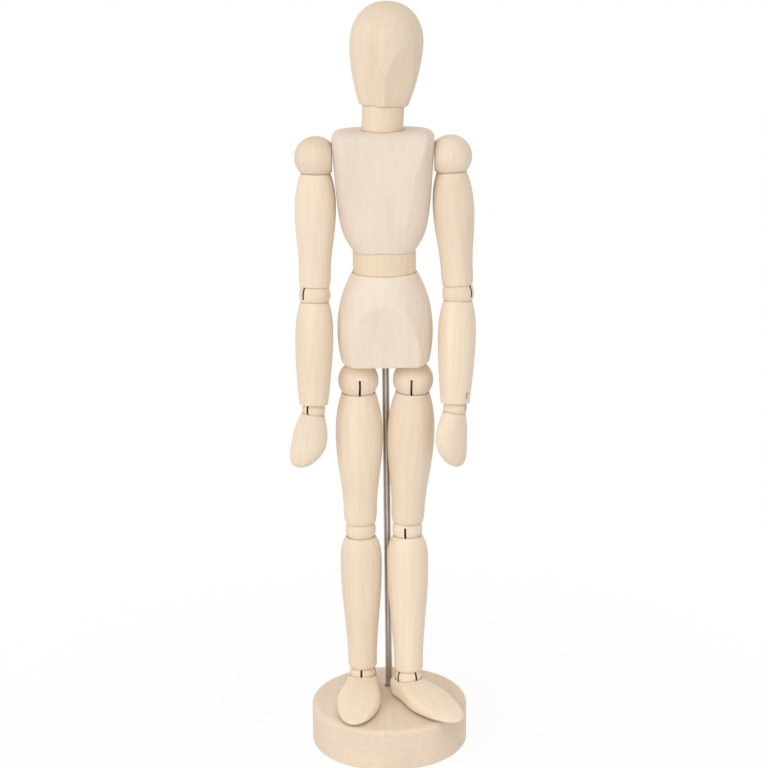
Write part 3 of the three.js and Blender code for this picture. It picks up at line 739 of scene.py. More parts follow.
@dataclass(frozen=True)
class LimbShape:
    """Outline of a turned limb between two balls."""

    length: float
    upper_ball: float
    lower_ball: float
    upper_rim: float
    belly: float
    belly_at: float
    neck: float
    neck_at: float
    lower_rim: float
    shoulder: float = 2.5
    fall: Callable[[float], float] = waisted
    seat_steps: int = 10
    edge_steps: int = 8
    shank_steps: int = 24
    shoulder_steps: int = 14

    def profile(self) -> Profile:
        """The outline with both seats.

        Returns:
            Radius and height from the lower seat's pole to the upper one's.
        """
        upper = self._seat(self.upper_ball, self.upper_rim, 0.0, -1.0)
        lower = self._seat(self.lower_ball, self.lower_rim, -self.length, 1.0)
        top, bottom = upper[-1][1], lower[-1][1]
        neck = -self.length + self.neck_at
        edge = []
        for share in steps(self.edge_steps)[1:]:
            turn = share * QUARTER_TURN
            radius = between(self.lower_rim, self.neck, math.sin(turn))
            edge.append((radius, between(bottom, neck, 1.0 - math.cos(turn))))
        shank = []
        for share in steps(self.shank_steps)[1:]:
            radius = between(self.neck, self.belly, 1.0 - self.fall(1.0 - share))
            shank.append((radius, between(neck, -self.belly_at, share)))
        shoulder = []
        for share in reversed(steps(self.shoulder_steps)[1:-1]):
            radius = between(self.upper_rim, self.belly, swell(share, self.shoulder))
            shoulder.append((radius, between(top, -self.belly_at, share)))
        return [*lower, *edge, *shank, *shoulder, *reversed(upper)]

    def _seat(self, ball: float, rim: float, centre: float, pole: float) -> Profile:
        """The hollow that a ball sits in.

        Args:
            ball: The ball's radius.
            rim: Radius of the hollow's rim.
            centre: Height of the ball's centre.
            pole: 1 for a hollow above the ball, -1 for one below it.

        Returns:
            Radius and height from the hollow's pole to its rim.
        """
        radius = ball + FIT
        reach = math.asin(rim / radius)
        return [
            (radius * math.sin(reach * share), centre + pole * radius * math.cos(reach * share))
            for share in steps(self.seat_steps)
        ]


SHOULDER_BALL, ELBOW_BALL, WRIST_BALL = 8.45, 6.3, 4.7
HIP_BALL, KNEE_BALL, ANKLE_BALL = 8.2, 6.3, 5.5
SHOULDER_FACE = 6.3

UPPER_ARM = LimbShape(
    length=54.2, upper_ball=SHOULDER_BALL, lower_ball=ELBOW_BALL,
    upper_rim=6.0, belly=8.15, belly_at=21.0, neck=6.35, neck_at=9.0, lower_rim=5.8,
)
FOREARM = LimbShape(
    length=46.3, upper_ball=ELBOW_BALL, lower_ball=WRIST_BALL,
    upper_rim=5.8, belly=7.6, belly_at=17.5, neck=5.75, neck_at=2.0, lower_rim=4.3, fall=tapered,
)
THIGH = LimbShape(
    length=64.2, upper_ball=HIP_BALL, lower_ball=KNEE_BALL,
    upper_rim=6.8, belly=9.6, belly_at=24.0, neck=6.85, neck_at=8.0, lower_rim=5.8,
)
SHIN = LimbShape(
    length=64.2, upper_ball=KNEE_BALL, lower_ball=ANKLE_BALL,
    upper_rim=6.0, belly=8.6, belly_at=15.0, neck=6.05, neck_at=4.4, lower_rim=5.0, shoulder=3.3,
)


@dataclass
class Joints:
    """Makes the balls with their saw cuts."""

    wardrobe: Wardrobe
    kerf: float = 0.85
    slot_floor: float = 1.6
    overcut: float = 1.0
    edge: float = 0.12
    edge_angle: float = 50.0

    def ball(self, node: str, radius: float, at: Matrix, opening: Opening, cross: bool = False) -> None:
        """A ball with its saw cut.

        Args:
            node: The node that it stands for.
            radius: Its radius in millimetres.
            at: Its frame, with the cut in the YZ plane.
            opening: Which way the cut opens.
            cross: Whether a second cut crosses the first.
        """
        ball = Maker.ball(node, radius, at)
        reach, floor, half = radius + self.overcut, self.slot_floor, self.kerf / 2.0
        if opening is Opening.QUARTER:
            low, high = Vector((-half, -reach, -reach)), Vector((half, floor, floor))
        else:
            ends = sorted((-opening.value * floor, opening.value * reach))
            low, high = Vector((-half, -reach, ends[0])), Vector((half, reach, ends[1]))
        cutters = [Maker.block("kerf", low, high, at)]
        if cross:
            cutters.append(Maker.block("kerf", low, high, at @ Matrix.Rotation(QUARTER_TURN, 4, "Z")))
        self.wardrobe.saw(ball, Slot.BLOND, cutters)
        if opening is Opening.QUARTER:
            flat = Maker.beyond(Vector((0.0, SHOULDER_FACE, 0.0)), Vector((0.0, 1.0, 0.0)), at)
            flat.data.materials.append(self.wardrobe.woods[Slot.BLOND])
            Maker.carve(ball, [flat])
        Maker.ease(ball, self.edge, self.edge_angle)
        self.wardrobe.wear(ball, node, Slot.BLOND, at)


@dataclass
class Stand:
    """The base and its rod."""

    wardrobe: Wardrobe
    radius: float = 32.5
    height: float = 17.5
    edge: float = 2.0
    edge_steps: int = 10
    chamfer: float = 0.8
    chamfer_steps: int = 5
    sides: int = 160
    lower_rings: Point = (0.4, 0.8)
    upper_rings: Triple = (0.8, 0.5, 0.2)
    rod_radius: float = 1.5
    rod_tip: float = 0.4
    rod_edge: float = 0.1
    rod_edge_angle: float = 30.0
    rod_sides: int = 48
    hole_reach: float = 30.0

    def build(self) -> None:
        """Turns the base and draws the rod."""
        chamfer, edge = self.chamfer, self.edge
        profile = [
            (0.0, 0.0),
            *[(self.radius * share, 0.0) for share in self.lower_rings],
            *arc((self.radius - chamfer, chamfer), chamfer, -90.0, 0.0, self.chamfer_steps),
            *arc((self.radius - edge, self.height - edge), edge, 0.0, 90.0, self.edge_steps),
            *[(self.radius * share, self.height) for share in self.upper_rings],
            (0.0, self.height),
        ]
        base = Maker.turn("base", profile, Matrix.Identity(4), self.sides)
        low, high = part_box("support_rod")
        middle = Vector(((low[0] + high[0]) / 2.0, (low[1] + high[1]) / 2.0, low[2]))
        at = Matrix.Translation(middle)
        bore = self.rod_radius + FIT
        hole = Maker.disc("hole", bore, (-FIT, self.hole_reach), at, self.rod_sides)
        self.wardrobe.saw(base, Slot.BASE, [hole])
        self.wardrobe.wear(base, "base", Slot.BASE, Matrix.Rotation(QUARTER_TURN, 4, "X"))

        length = (high[2] - low[2]) / MM
        tip, r = self.rod_tip, self.rod_radius
        outline = [(0.0, 0.0), (r - tip, 0.0), (r, tip), (r, length - tip), (r - tip, length), (0.0, length)]
        rod = Maker.turn("support_rod", outline, at, self.rod_sides)
        Maker.ease(rod, self.rod_edge, self.rod_edge_angle)
        self.wardrobe.wear(rod, "support_rod", Slot.STEEL, at)


@dataclass
class Trunk:
    """Pelvis, waist, chest, neck and head, with heights from the barrels' centres."""

    wardrobe: Wardrobe
    bones: Skeleton
    sides: int = 120
    voxel: float = 0.42
    waist_radius: float = 12.6
    waist_half: float = 4.0
    neck_radius: float = 8.2
    neck_half: float = 4.75
    barrel_edge: float = 0.5
    barrel_edge_angle: float = 20.0
    dome_steps: int = 16
    girth_steps: int = 8
    pelvis_drop: float = 41.5
    pelvis_radius: float = 19.2
    pelvis_widest: float = 28.2
    pelvis_rub: int = 6
    hem_radius: float = 17.9
    hem_edge: float = 1.5
    hem_steps: int = 8
    flank_power: float = 2.0
    flank_steps: int = 12
    taper_power: float = 2.2
    taper_steps: int = 20
    facet_reach: float = 17.4
    facet_drop: float = 15.0
    facet_tilt: float = 13.0
    rod_setback: float = 6.5
    rod_bore: float = 1.8
    rod_overcut: float = 1.0
    rod_reach: float = 27.0
    rod_sides: int = 40
    neck_rise: float = 56.8
    shoulder_rise: float = 41.5
    chest_shoulder: float = 20.25
    chest_flank: float = 18.05
    chest_depth: float = 15.4
    chest_depth_power: float = 2.0
    chest_edge: float = 3.2
    chest_edge_steps: int = 8
    chest_widest: float = 48.0
    chest_hem: float = 3.2
    chest_hem_width: float = 11.6
    chest_hem_depth: float = 12.2
    chest_apex: float = 28.5
    chest_squareness: Point = (2.2, 2.7)
    chest_steps: int = 40
    chest_rub: int = 5
    upper_lean: float = 10.5
    lower_yaw: float = 8.0
    lower_tilt: float = 3.0
    spot: float = 19.9
    spot_depth: float = 6.0
    spot_margin: float = 3.0 * FIT
    spot_sides: int = 64
    head_height: float = 44.7
    head_radius: float = 14.3
    head_widest: float = 28.7
    head_rub: int = 4
    chin_radius: float = 9.9
    chin_edge: float = 1.2
    chin_steps: int = 6
    jaw_power: float = 1.8
    jaw_steps: int = 24
    crown_power: float = 0.93
    crown_steps: int = 28
    ridge_reach: float = 9.5
    ridge_lean: float = 17.0
    cheek_yaw: float = 30.0

    def build(self) -> None:
        """Makes the five pieces from the pelvis up."""
        bones = self.bones
        waist = Matrix.Translation(bones.place("waist_bow"))
        neck = bones.frame_at(bones.place("neck_lean"), bones.axis("head_turn"), bones.axis("head_nod"))
        self._pelvis(waist)
        self._barrel("waist", self.waist_radius, self.waist_half, waist)
        self._chest(waist)
        self._barrel("neck", self.neck_radius, self.neck_half, neck)
        self._head(neck)

    def _waist_seat(self, at: Matrix) -> bpy.types.Object:
        """A cutter for the hollow over one of the waist's domed ends."""
        return Maker.ball("seat", math.hypot(self.waist_radius, self.waist_half) + FIT, at, Maker.seat_sides)

    def _neck_seat(self, at: Matrix) -> bpy.types.Object:
        """A cutter for the hollow over one of the neck's domed ends."""
        return Maker.ball("seat", math.hypot(self.neck_radius, self.neck_half) + FIT, at, Maker.seat_sides)

    def _barrel(self, node: str, radius: float, half: float, at: Matrix) -> None:
        """A short barrel with domed ends.

        Args:
            node: The node that it stands for.
            radius: Girth radius.
            half: Half of its straight height.
            at: Its frame.
        """
        dome = math.hypot(radius, half)
        rise = math.degrees(math.atan2(half, radius))
        profile = [
            *arc((0.0, 0.0), dome, -90.0, -rise, self.dome_steps),
            *[(radius, half * (2.0 * share - 1.0)) for share in steps(self.girth_steps)[1:-1]],
            *arc((0.0, 0.0), dome, rise, 90.0, self.dome_steps),
        ]
        barrel = Maker.turn(node, profile, at, Maker.seat_sides)
        Maker.ease(barrel, self.barrel_edge, self.barrel_edge_angle)
        self.wardrobe.wear(barrel, node, Slot.BARREL, at)

    def _pelvis_profile(self) -> Profile:
        """The turned outline of the pelvis.

        Returns:
            Radius and height from the middle of its underside to the middle of its top.
        """
        rim, least = -self.waist_half, self.waist_radius + FIT
        corner = (self.hem_radius - self.hem_edge, -self.pelvis_drop + self.hem_edge)
        hem = arc(corner, self.hem_edge, -90.0, 0.0, self.hem_steps)
        top = hem[-1][1]
        flank = []
        for share in steps(self.flank_steps)[1:]:
            radius = between(self.hem_radius, self.pelvis_radius, swell(share, self.flank_power))
            flank.append((radius, between(top, -self.pelvis_widest, share)))
        taper = []
        for share in steps(self.taper_steps)[1:]:
            radius = between(least, self.pelvis_radius, swell(1.0 - share, self.taper_power))
            taper.append((radius, between(-self.pelvis_widest, rim, share)))
        return [(0.0, -self.pelvis_drop), *hem, *flank, *taper, (0.0, rim)]

    def _pelvis(self, at: Matrix) -> None:
        """The turned pelvis with its two planed faces and its seats.

        Args:
            at: The waist's frame.
        """
        pelvis = Maker.turn("pelvis", self._pelvis_profile(), at, self.sides)
        tilt = math.radians(self.facet_tilt)
        cutters = []
        for facing in (-1.0, 1.0):
            foot = Vector((0.0, facing * self.facet_reach, -self.facet_drop))
            cutters.append(Maker.beyond(foot, Vector((0.0, facing * math.cos(tilt), -math.sin(tilt))), at))
        Maker.carve(pelvis, cutters)
        Maker.soften(pelvis, self.voxel, self.pelvis_rub)
        cutters = [self._waist_seat(at)]
        for side in Side:
            hip = Matrix.Translation(self.bones.place(f"{side.label}_hip_turn"))
            cutters.append(Maker.ball("seat", HIP_BALL + FIT, hip))
        rod = Maker.shifted(at, (0.0, self.rod_setback, -self.pelvis_drop - self.rod_overcut))
        cutters.append(Maker.disc("hole", self.rod_bore, (0.0, self.rod_reach), rod, self.rod_sides))
        Maker.carve(pelvis, cutters)
        self.wardrobe.wear(pelvis, "pelvis", Slot.PALE, at)

    def _chest_width(self, height: float) -> float:
        """Half-width of the chest at a height over the waist centre.

        Args:
            height: Height in millimetres.

        Returns:
            The half-width.
        """
        low, mid = self.chest_hem, self.chest_apex
        knots = [
            (low, self.chest_hem_width),
            ((low + mid) / 3.0, (self.chest_hem_width + 2.0 * self.chest_flank) / 3.0),
            ((low + 2.0 * mid) / 3.0, self.chest_flank),
            (self.chest_widest, self.chest_shoulder),
        ]
        return smooth_through(knots, height)

    def _chest_depth(self, height: float) -> float:
        """Half-depth of the chest at a height over the waist centre."""
        rise = (height - self.chest_hem) / (self.chest_widest - self.chest_hem)
        return between(self.chest_hem_depth, self.chest_depth, swell(min(rise, 1.0), self.chest_depth_power))

    @property
    def _chest_front(self) -> float:
        """How far the chest reaches forward at the lowest point of its upper plane."""
        return self._chest_depth(self.chest_apex) - FIT

    def _planed(self, outline: Profile, height: float, inset: float) -> list[Vector]:
        """A chest section, cut back to the upper plane.

        Args:
            outline: The whole section.
            height: Its height over the waist centre.
            inset: How far the rounded upper edge lies inside there.

        Returns:
            The section's points.
        """
        recede = max(height - self.chest_apex, 0.0) * math.tan(math.radians(self.upper_lean))
        front = inset + recede - self._chest_front if height > self.chest_apex else -self.chest_depth
        return [Vector((x, max(y, front), height)) for x, y in outline]

    def _chest_rings(self) -> list[list[Vector]]:
        """The chest's sections from its hem to its top.

        Returns:
            The sections in millimetres.
        """
        rings = []
        for share in steps(self.chest_steps):
            height = between(self.chest_hem, self.chest_widest, share)
            width, depth = self._chest_width(height), self._chest_depth(height)
            outline = superellipse(width, depth, between(*self.chest_squareness, share), self.sides)
            rings.append(self._planed(outline, height, 0.0))
        top = self.neck_rise - self.neck_half
        for share in steps(self.chest_edge_steps):
            turn = share * QUARTER_TURN
            inset = self.chest_edge * (1.0 - math.cos(turn))
            height = top - self.chest_edge + self.chest_edge * math.sin(turn)
            width, depth = self.chest_shoulder - inset, self.chest_depth - inset
            outline = superellipse(width, depth, self.chest_squareness[1], self.sides)
            rings.append(self._planed(outline, height, inset))
        return rings

    def _chest(self, at: Matrix) -> None:
        """The lofted chest with its planes, shoulder spots and seats.

        Args:
            at: The waist's frame.
        """
        chest = Maker.skin("chest", self._chest_rings(), at)
        apex = Vector((0.0, -self._chest_front, self.chest_apex))
        yaw, tilt = math.radians(self.lower_yaw), math.radians(self.lower_tilt)
        cutters = []
        for side in Side:
            facing = Vector((side.value * math.sin(yaw), -math.cos(yaw), -math.sin(tilt)))
            cutters.append(Maker.beyond(apex, facing.normalized(), at))
        Maker.carve(chest, cutters)
        Maker.soften(chest, self.voxel, self.chest_rub)
        cutters = [self._waist_seat(at), self._neck_seat(Maker.shifted(at, (0.0, 0.0, self.neck_rise)))]
        radius = math.sqrt(SHOULDER_BALL**2 - SHOULDER_FACE**2) + self.spot_margin
        for side in Side:
            turn = Matrix.Rotation(side.value * QUARTER_TURN, 4, "Y")
            spot = Maker.shifted(at, (side.value * self.spot, 0.0, self.shoulder_rise)) @ turn
            cutters.append(Maker.disc("spot", radius, (0.0, self.spot_depth), spot, self.spot_sides))
        Maker.carve(chest, cutters)
        self.wardrobe.wear(chest, "chest", Slot.PALE, at)

    def _head_profile(self) -> Profile:
        """The turned outline of the head.

        Returns:
            Radius and height from the middle of the chin to the crown.
        """
        corner = (self.chin_radius - self.chin_edge, self.neck_half + self.chin_edge)
        chin = arc(corner, self.chin_edge, -90.0, 0.0, self.chin_steps)
        low = chin[-1][1]
        jaw = []
        for share in steps(self.jaw_steps)[1:]:
            radius = between(self.chin_radius, self.head_radius, swell(share, self.jaw_power))
            jaw.append((radius, between(low, self.head_widest, share)))
        crown = []
        for share in steps(self.crown_steps)[1:]:
            turn = share * QUARTER_TURN
            radius = self.head_radius * max(math.cos(turn), 0.0) ** self.crown_power
            rise = math.sin(turn) ** self.crown_power
            crown.append((radius, between(self.head_widest, self.head_height, rise)))
        return [(0.0, self.neck_half), *chin, *jaw, *crown]

    def _head(self, at: Matrix) -> None:
        """The egg-shaped head with its two cheek planes.

        Args:
            at: The neck's frame.
        """
        head = Maker.turn("head", self._head_profile(), at, self.sides)
        lean, yaw = math.radians(self.ridge_lean), math.radians(self.cheek_yaw)
        ridge = Vector((0.0, -self.ridge_reach, self.neck_half))
        along = Vector((0.0, -math.sin(lean), math.cos(lean)))
        cutters = []
        for side in Side:
            across = Vector((side.value * math.cos(yaw), math.sin(yaw), 0.0))
            normal = across.cross(along) * side.value
            cutters.append(Maker.beyond(ridge, normal.normalized(), at))
        Maker.carve(head, cutters)
        Maker.soften(head, self.voxel, self.head_rub)
        Maker.carve(head, [self._neck_seat(at)])
        self.wardrobe.wear(head, "head", Slot.BLOND, at)


@dataclass
class Limb:
    """What arms and legs share."""

    side: Side
    wardrobe: Wardrobe
    bones: Skeleton
    joints: Joints

    edge: ClassVar[float] = 0.25
    edge_angle: ClassVar[float] = 35.0

    def _places(self, *joints: str) -> list[Vector]:
        """The places of this side's joints."""
        return [self.bones.place(f"{self.side.label}_{joint}") for joint in joints]

    def _axis(self, joint: str) -> Vector:
        """The axis of one of this side's joints."""
        return self.bones.axis(f"{self.side.label}_{joint}")

    def _turned(self, node: str, shape: LimbShape, at: Matrix) -> bpy.types.Object:
        """A turned limb with its edges broken."""
        return Maker.ease(Maker.turn(node, shape.profile(), at), self.edge, self.edge_angle)

    def _wear(self, piece: bpy.types.Object, node: str, at: Matrix) -> None:
        """Dresses a piece of this side in the limbs' wood."""
        self.wardrobe.wear(piece, f"{self.side.label}_{node}", Slot.BLOND, at)

    def _ball(self, joint: str, radius: float, place: Vector, up: Vector, opening: Opening) -> None:
        """A ball whose saw cut lies square to its joint's pin.

        Args:
            joint: The joint, named for the ball and its motion.
            radius: The ball's radius.
            place: Its centre in metres.
            up: Its upward direction.
            opening: Which way the cut opens.
        """
        node = joint.split("_")[0]
        at = self.bones.frame_at(place, up, -self._axis(joint))
        label = f"{self.side.label}_{node}_ball"
        self.joints.ball(label, radius, at, opening, cross=node == "ankle")


@dataclass
class Arm(Limb):
    """One arm from its shoulder ball to its hand."""

    hand_twist: float
    hand_tip_shift: float
    nail: bool = False
    hand_length: float = 24.5
    hand_half_width: float = 7.1
    hand_widest: float = 12.5
    hand_half_thickness: float = 4.0
    hand_top: float = 1.8
    hand_top_radius: float = 4.6
    hand_top_power: float = 1.7
    hand_tip_power: float = 2.4
    hand_tip_least: float = 0.0004
    hand_shift_power: float = 1.5
    hand_steps: int = 44
    hand_sides: int = 64
    hand_voxel: float = 0.3
    hand_rub: int = 4
    nail_drop: float = 40.8
    nail_turn: float = 47.0
    nail_half_width: float = 0.2
    nail_half_length: float = 1.4
    nail_start: float = 0.7

    def build(self) -> None:
        """Makes the balls, the two limbs and the hand."""
        shoulder, elbow, wrist = self._places("arm_raise", "elbow_bend", "wrist_bend")
        upper_up = (shoulder - elbow).normalized()
        lower_up = (elbow - wrist).normalized()
        upper = self.bones.frame_at(shoulder, upper_up, RIGHTWARD)
        lower = self.bones.frame_at(elbow, lower_up, RIGHTWARD)
        self._wear(self._turned("upper_arm", UPPER_ARM, upper), "upper_arm", upper)
        forearm = self._turned("forearm", FOREARM, lower)
        if self.nail:
            self._nail_slit(forearm, lower)
        self._wear(forearm, "forearm", lower)

        pin = -self._axis("arm_raise")
        swing_up = RIGHTWARD.cross(pin).normalized()
        up = swing_up if swing_up.z > 0.0 else -swing_up
        at = self.bones.frame_at(shoulder, up, pin)
        self.joints.ball(f"{self.side.label}_shoulder_ball", SHOULDER_BALL, at, Opening.QUARTER)
        self._ball("elbow_bend", ELBOW_BALL, elbow, upper_up, Opening.UP)
        self._ball("wrist_bend", WRIST_BALL, wrist, lower_up, Opening.UP)
        self._hand(wrist)

    def _nail_slit(self, forearm: bpy.types.Object, at: Matrix) -> None:
        """Cuts the short slit that a nail left near the wrist.

        Args:
            forearm: The forearm.
            at: Its frame.
        """
        half, reach = self.nail_half_width, self.nail_half_length
        low = Vector((-half, -FOREARM.belly, -self.nail_drop - reach))
        high = Vector((half, -FOREARM.neck + self.nail_start, -self.nail_drop + reach))
        turned = at @ Matrix.Rotation(math.radians(self.nail_turn), 4, "Z")
        self.wardrobe.saw(forearm, Slot.BLOND, [Maker.block("slit", low, high, turned)])

    def _hand_section(self, drop: float) -> list[Vector]:
        """One section across the hand.

        Args:
            drop: How far it lies below the wrist.

        Returns:
            The section's points.
        """
        if drop > self.hand_widest:
            run = (drop - self.hand_widest) / (self.hand_length - self.hand_widest)
            close = math.sqrt(max(1.0 - run**self.hand_tip_power, self.hand_tip_least))
            width, thick = self.hand_half_width * close, self.hand_half_thickness * close
            shift = self.side.value * self.hand_tip_shift * run**self.hand_shift_power
        else:
            run = (self.hand_widest - drop) / (self.hand_widest - self.hand_top)
            width = between(self.hand_half_width, self.hand_top_radius, run**self.hand_top_power)
            thick = between(self.hand_half_thickness, self.hand_top_radius, run)
            shift = 0.0
        oval = superellipse(width, thick, 2.0, self.hand_sides)
        return [Vector((shift + x, y, -drop)) for x, y in oval]

    def _hand(self, wrist: Vector) -> None:
        """The oval paddle hand, its inner edge slanted to a tip on the outer side.

        Args:
            wrist: The wrist ball's centre in metres.
        """
        at = self.bones.frame_at(wrist, self._axis("hand_twist"), RIGHTWARD)
        at = at @ Matrix.Rotation(math.radians(self.hand_twist), 4, "Z")
        drops = [between(self.hand_top, self.hand_length, share) for share in steps(self.hand_steps)]
        hand = Maker.skin("hand", [self._hand_section(drop) for drop in reversed(drops)], at)
        Maker.soften(hand, self.hand_voxel, self.hand_rub)
        Maker.carve(hand, [Maker.ball("seat", WRIST_BALL + FIT, at)])
        self._wear(hand, "hand", at)


@dataclass
class Leg(Limb):
    """One leg from its hip ball to its foot."""

    ankle_height: float = 8.4
    toe: float = 35.0
    toe_height: float = 3.4
    toe_power: float = 1.8
    toe_spring: float = 0.6
    toe_spring_power: float = 2.0
    heel: float = 9.0
    heel_half_width: float = 6.8
    heel_power: float = 2.4
    heel_round: float = 3.0
    heel_round_power: float = 3.0
    end_least: float = 0.003
    ball_at: float = 15.0
    half_width: float = 9.0
    instep: float = 9.2
    crown_least: float = 0.35
    widest_level: float = 0.4
    crown_squareness: float = 2.4
    sole_squareness: float = 7.0
    foot_steps: int = 48
    foot_sides: int = 72
    foot_voxel: float = 0.32
    foot_rub: int = 5

    def build(self) -> None:
        """Makes the balls, the two limbs and the foot."""
        hip, knee, ankle = self._places("hip_swing", "knee_bend", "ankle_tilt")
        thigh_up, shin_up = (hip - knee).normalized(), (knee - ankle).normalized()
        for node, shape, place, up in (("thigh", THIGH, hip, thigh_up), ("shin", SHIN, knee, shin_up)):
            at = self.bones.frame_at(place, up, RIGHTWARD)
            self._wear(self._turned(node, shape, at), node, at)
        self._ball("hip_swing", HIP_BALL, hip, thigh_up, Opening.DOWN)
        self._ball("knee_bend", KNEE_BALL, knee, shin_up, Opening.DOWN)
        self._ball("ankle_tilt", ANKLE_BALL, ankle, shin_up, Opening.UP)
        self._foot(ankle)

    def _foot_section(self, along: float) -> list[Vector]:
        """One section across the foot.

        Args:
            along: How far it lies ahead of the ankle.

        Returns:
            The section's points.
        """
        heel_run = min((along + self.heel) / self.heel, 1.0)
        toe_run = max((along - self.ball_at) / (self.toe - self.ball_at), 0.0)
        middle = min(max(along / self.ball_at, 0.0), 1.0)
        heel_end = math.sqrt(max(1.0 - (1.0 - heel_run) ** self.heel_power, self.end_least))
        toe_end = math.sqrt(max(1.0 - toe_run**self.toe_power, self.end_least))
        ends = heel_end * toe_end
        width = between(self.heel_half_width, self.half_width, waisted(middle)) * ends
        top = self.instep + (self.toe_height - self.instep) * max(along, 0.0) / self.toe
        lift = self.heel_round * (1.0 - heel_run) ** self.heel_round_power
        lift += self.toe_spring * toe_run**self.toe_spring_power
        crown = between(lift, top, between(self.crown_least, 1.0, ends))
        level = between(lift, crown, self.widest_level)
        ring = []
        for angle in angles(self.foot_sides):
            above = math.sin(angle) > 0.0
            power = self.crown_squareness if above else self.sole_squareness
            rise = crown - level if above else level - lift
            height = level + rise * squared(math.sin(angle), power)
            ring.append(Vector((width * squared(math.cos(angle), power), -along, height - self.ankle_height)))
        return ring

    def _foot(self, ankle: Vector) -> None:
        """The foot: flat sole, domed instep that slopes to the toe, rounded heel.

        Args:
            ankle: The ankle ball's centre in metres.
        """
        across = -self._axis("ankle_tilt")
        across.z = 0.0
        at = self.bones.frame_at(ankle, UPWARD, across)
        length = self.heel + self.toe
        places = [-self.heel + length * waisted(share) for share in steps(self.foot_steps)]
        foot = Maker.skin("foot", [self._foot_section(along) for along in places], at)
        Maker.soften(foot, self.foot_voxel, self.foot_rub)
        Maker.carve(foot, [Maker.ball("seat", ANKLE_BALL + FIT, at)])
        self._wear(foot, "foot", at @ Matrix.Rotation(QUARTER_TURN, 4, "X"))


@dataclass
class Springs:
    """The three coil springs inside the trunk, wound by a node tree."""

    wardrobe: Wardrobe
    wire: float = 0.4
    turns: float = 9.0
    steps_a_turn: int = 24
    wire_sides: int = 10

    def build(self) -> None:
        """Winds each spring in the room that its node holds."""
        tree = self._tree()
        for node, axis in (("waist_spring", "Z"), ("neck_spring", "Z"), ("shoulder_spring", "X")):
            low, high = (Vector(corner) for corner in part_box(node))
            room = high - low
            length = room.x if axis == "X" else room.z
            radius = min(room.x, room.y, room.z) / 2.0
            turn = Matrix.Rotation(QUARTER_TURN, 4, "Y") if axis == "X" else Matrix.Identity(4)
            at = Matrix.Translation((low + high) / 2.0) @ turn
            coil = self._wind(tree, node, radius, length)
            coil.data.transform(at @ Matrix.Translation((0.0, 0.0, -length / 2.0)))
            self.wardrobe.wear(coil, node, Slot.STEEL, at)

    def _wind(self, tree: bpy.types.NodeTree, node: str, radius: float, length: float) -> bpy.types.Object:
        """One spring as a plain mesh.

        Args:
            tree: The node tree that winds it.
            node: The node that it stands for.
            radius: Outer radius in metres.
            length: Length in metres.

        Returns:
            The spring, standing on the origin.
        """
        coil = bpy.data.objects.new(node, bpy.data.meshes.new(node))
        bpy.context.scene.collection.objects.link(coil)
        wound = coil.modifiers.new("wound", "NODES")
        wound.node_group = tree
        values = {
            "Radius": radius - self.wire * MM,
            "Height": length - 2.0 * self.wire * MM,
            "Turns": self.turns,
            "Wire": self.wire * MM,
        }
        for item in tree.interface.items_tree:
            if item.item_type == "SOCKET" and item.name in values:
                wound[item.identifier] = values[item.name]
        Maker.settle(coil)
        coil.data.transform(Matrix.Translation((0.0, 0.0, self.wire * MM)))
        return coil

    def _tree(self) -> bpy.types.NodeTree:
        """The node tree: a spiral swept by a round wire.

        Returns:
            The tree, with named inputs for the sizes.
        """
        tree = bpy.data.node_groups.new("coil_spring", "GeometryNodeTree")
        for name in ("Radius", "Height", "Turns", "Wire"):
            tree.interface.new_socket(name, in_out="INPUT", socket_type="NodeSocketFloat")
        tree.interface.new_socket("Spring", in_out="OUTPUT", socket_type="NodeSocketGeometry")
        sizes = tree.nodes.new("NodeGroupInput")
        result = tree.nodes.new("NodeGroupOutput")
        spiral = tree.nodes.new("GeometryNodeCurveSpiral")
        spiral.inputs["Resolution"].default_value = self.steps_a_turn
        section = tree.nodes.new("GeometryNodeCurvePrimitiveCircle")
        section.inputs["Resolution"].default_value = self.wire_sides
        sweep = tree.nodes.new("GeometryNodeCurveToMesh")
        sweep.inputs["Fill Caps"].default_value = True
        real = tree.nodes.new("GeometryNodeRealizeInstances")
        finish = tree.nodes.new("GeometryNodeSetMaterial")
        finish.inputs["Material"].default_value = self.wardrobe.steel
        for source, output, target, entry in (
            (sizes, "Turns", spiral, "Rotations"),
            (sizes, "Radius", spiral, "Start Radius"),
            (sizes, "Radius", spiral, "End Radius"),
            (sizes, "Height", spiral, "Height"),
            (sizes, "Wire", section, "Radius"),
            (spiral, "Curve", sweep, "Curve"),
            (section, "Curve", sweep, "Profile Curve"),
            (sweep, "Mesh", real, "Geometry"),
            (real, "Geometry", finish, "Geometry"),
            (finish, "Geometry", result, "Spring"),
        ):
            tree.links.new(source.outputs[output], target.inputs[entry])
        return tree


@dataclass(frozen=True)
class Lamp:
    """A soft square lamp, with its sizes in metres, its power in watts and its cone in degrees."""

    name: str
    place: Triple
    target: Triple
    size: float
    power: float
    spread: float = 180.0

    def hang(self) -> None:
        """Adds the lamp to the scene."""
        data = bpy.data.lights.new(self.name, "AREA")
        data.size = self.size
        data.energy = self.power
        data.spread = math.radians(self.spread)
        lamp = bpy.data.objects.new(self.name, data)
        lamp.location = self.place
        aim = Vector(self.target) - Vector(self.place)
        lamp.rotation_euler = aim.to_track_quat("-Z", "Y").to_euler()
        bpy.context.scene.collection.objects.link(lamp)


LAMPS = (
    Lamp("key", (-0.75, -1.0, 0.75), (0.0, 0.0, 0.14), size=0.8, power=5.6),
    Lamp("fill", (0.9, -0.9, 0.35), (0.0, 0.0, 0.12), size=0.9, power=1.2),
    Lamp("feet", (0.0, -0.55, 0.75), (0.0, -0.02, 0.0), size=0.2, power=0.028, spread=20.0),
)


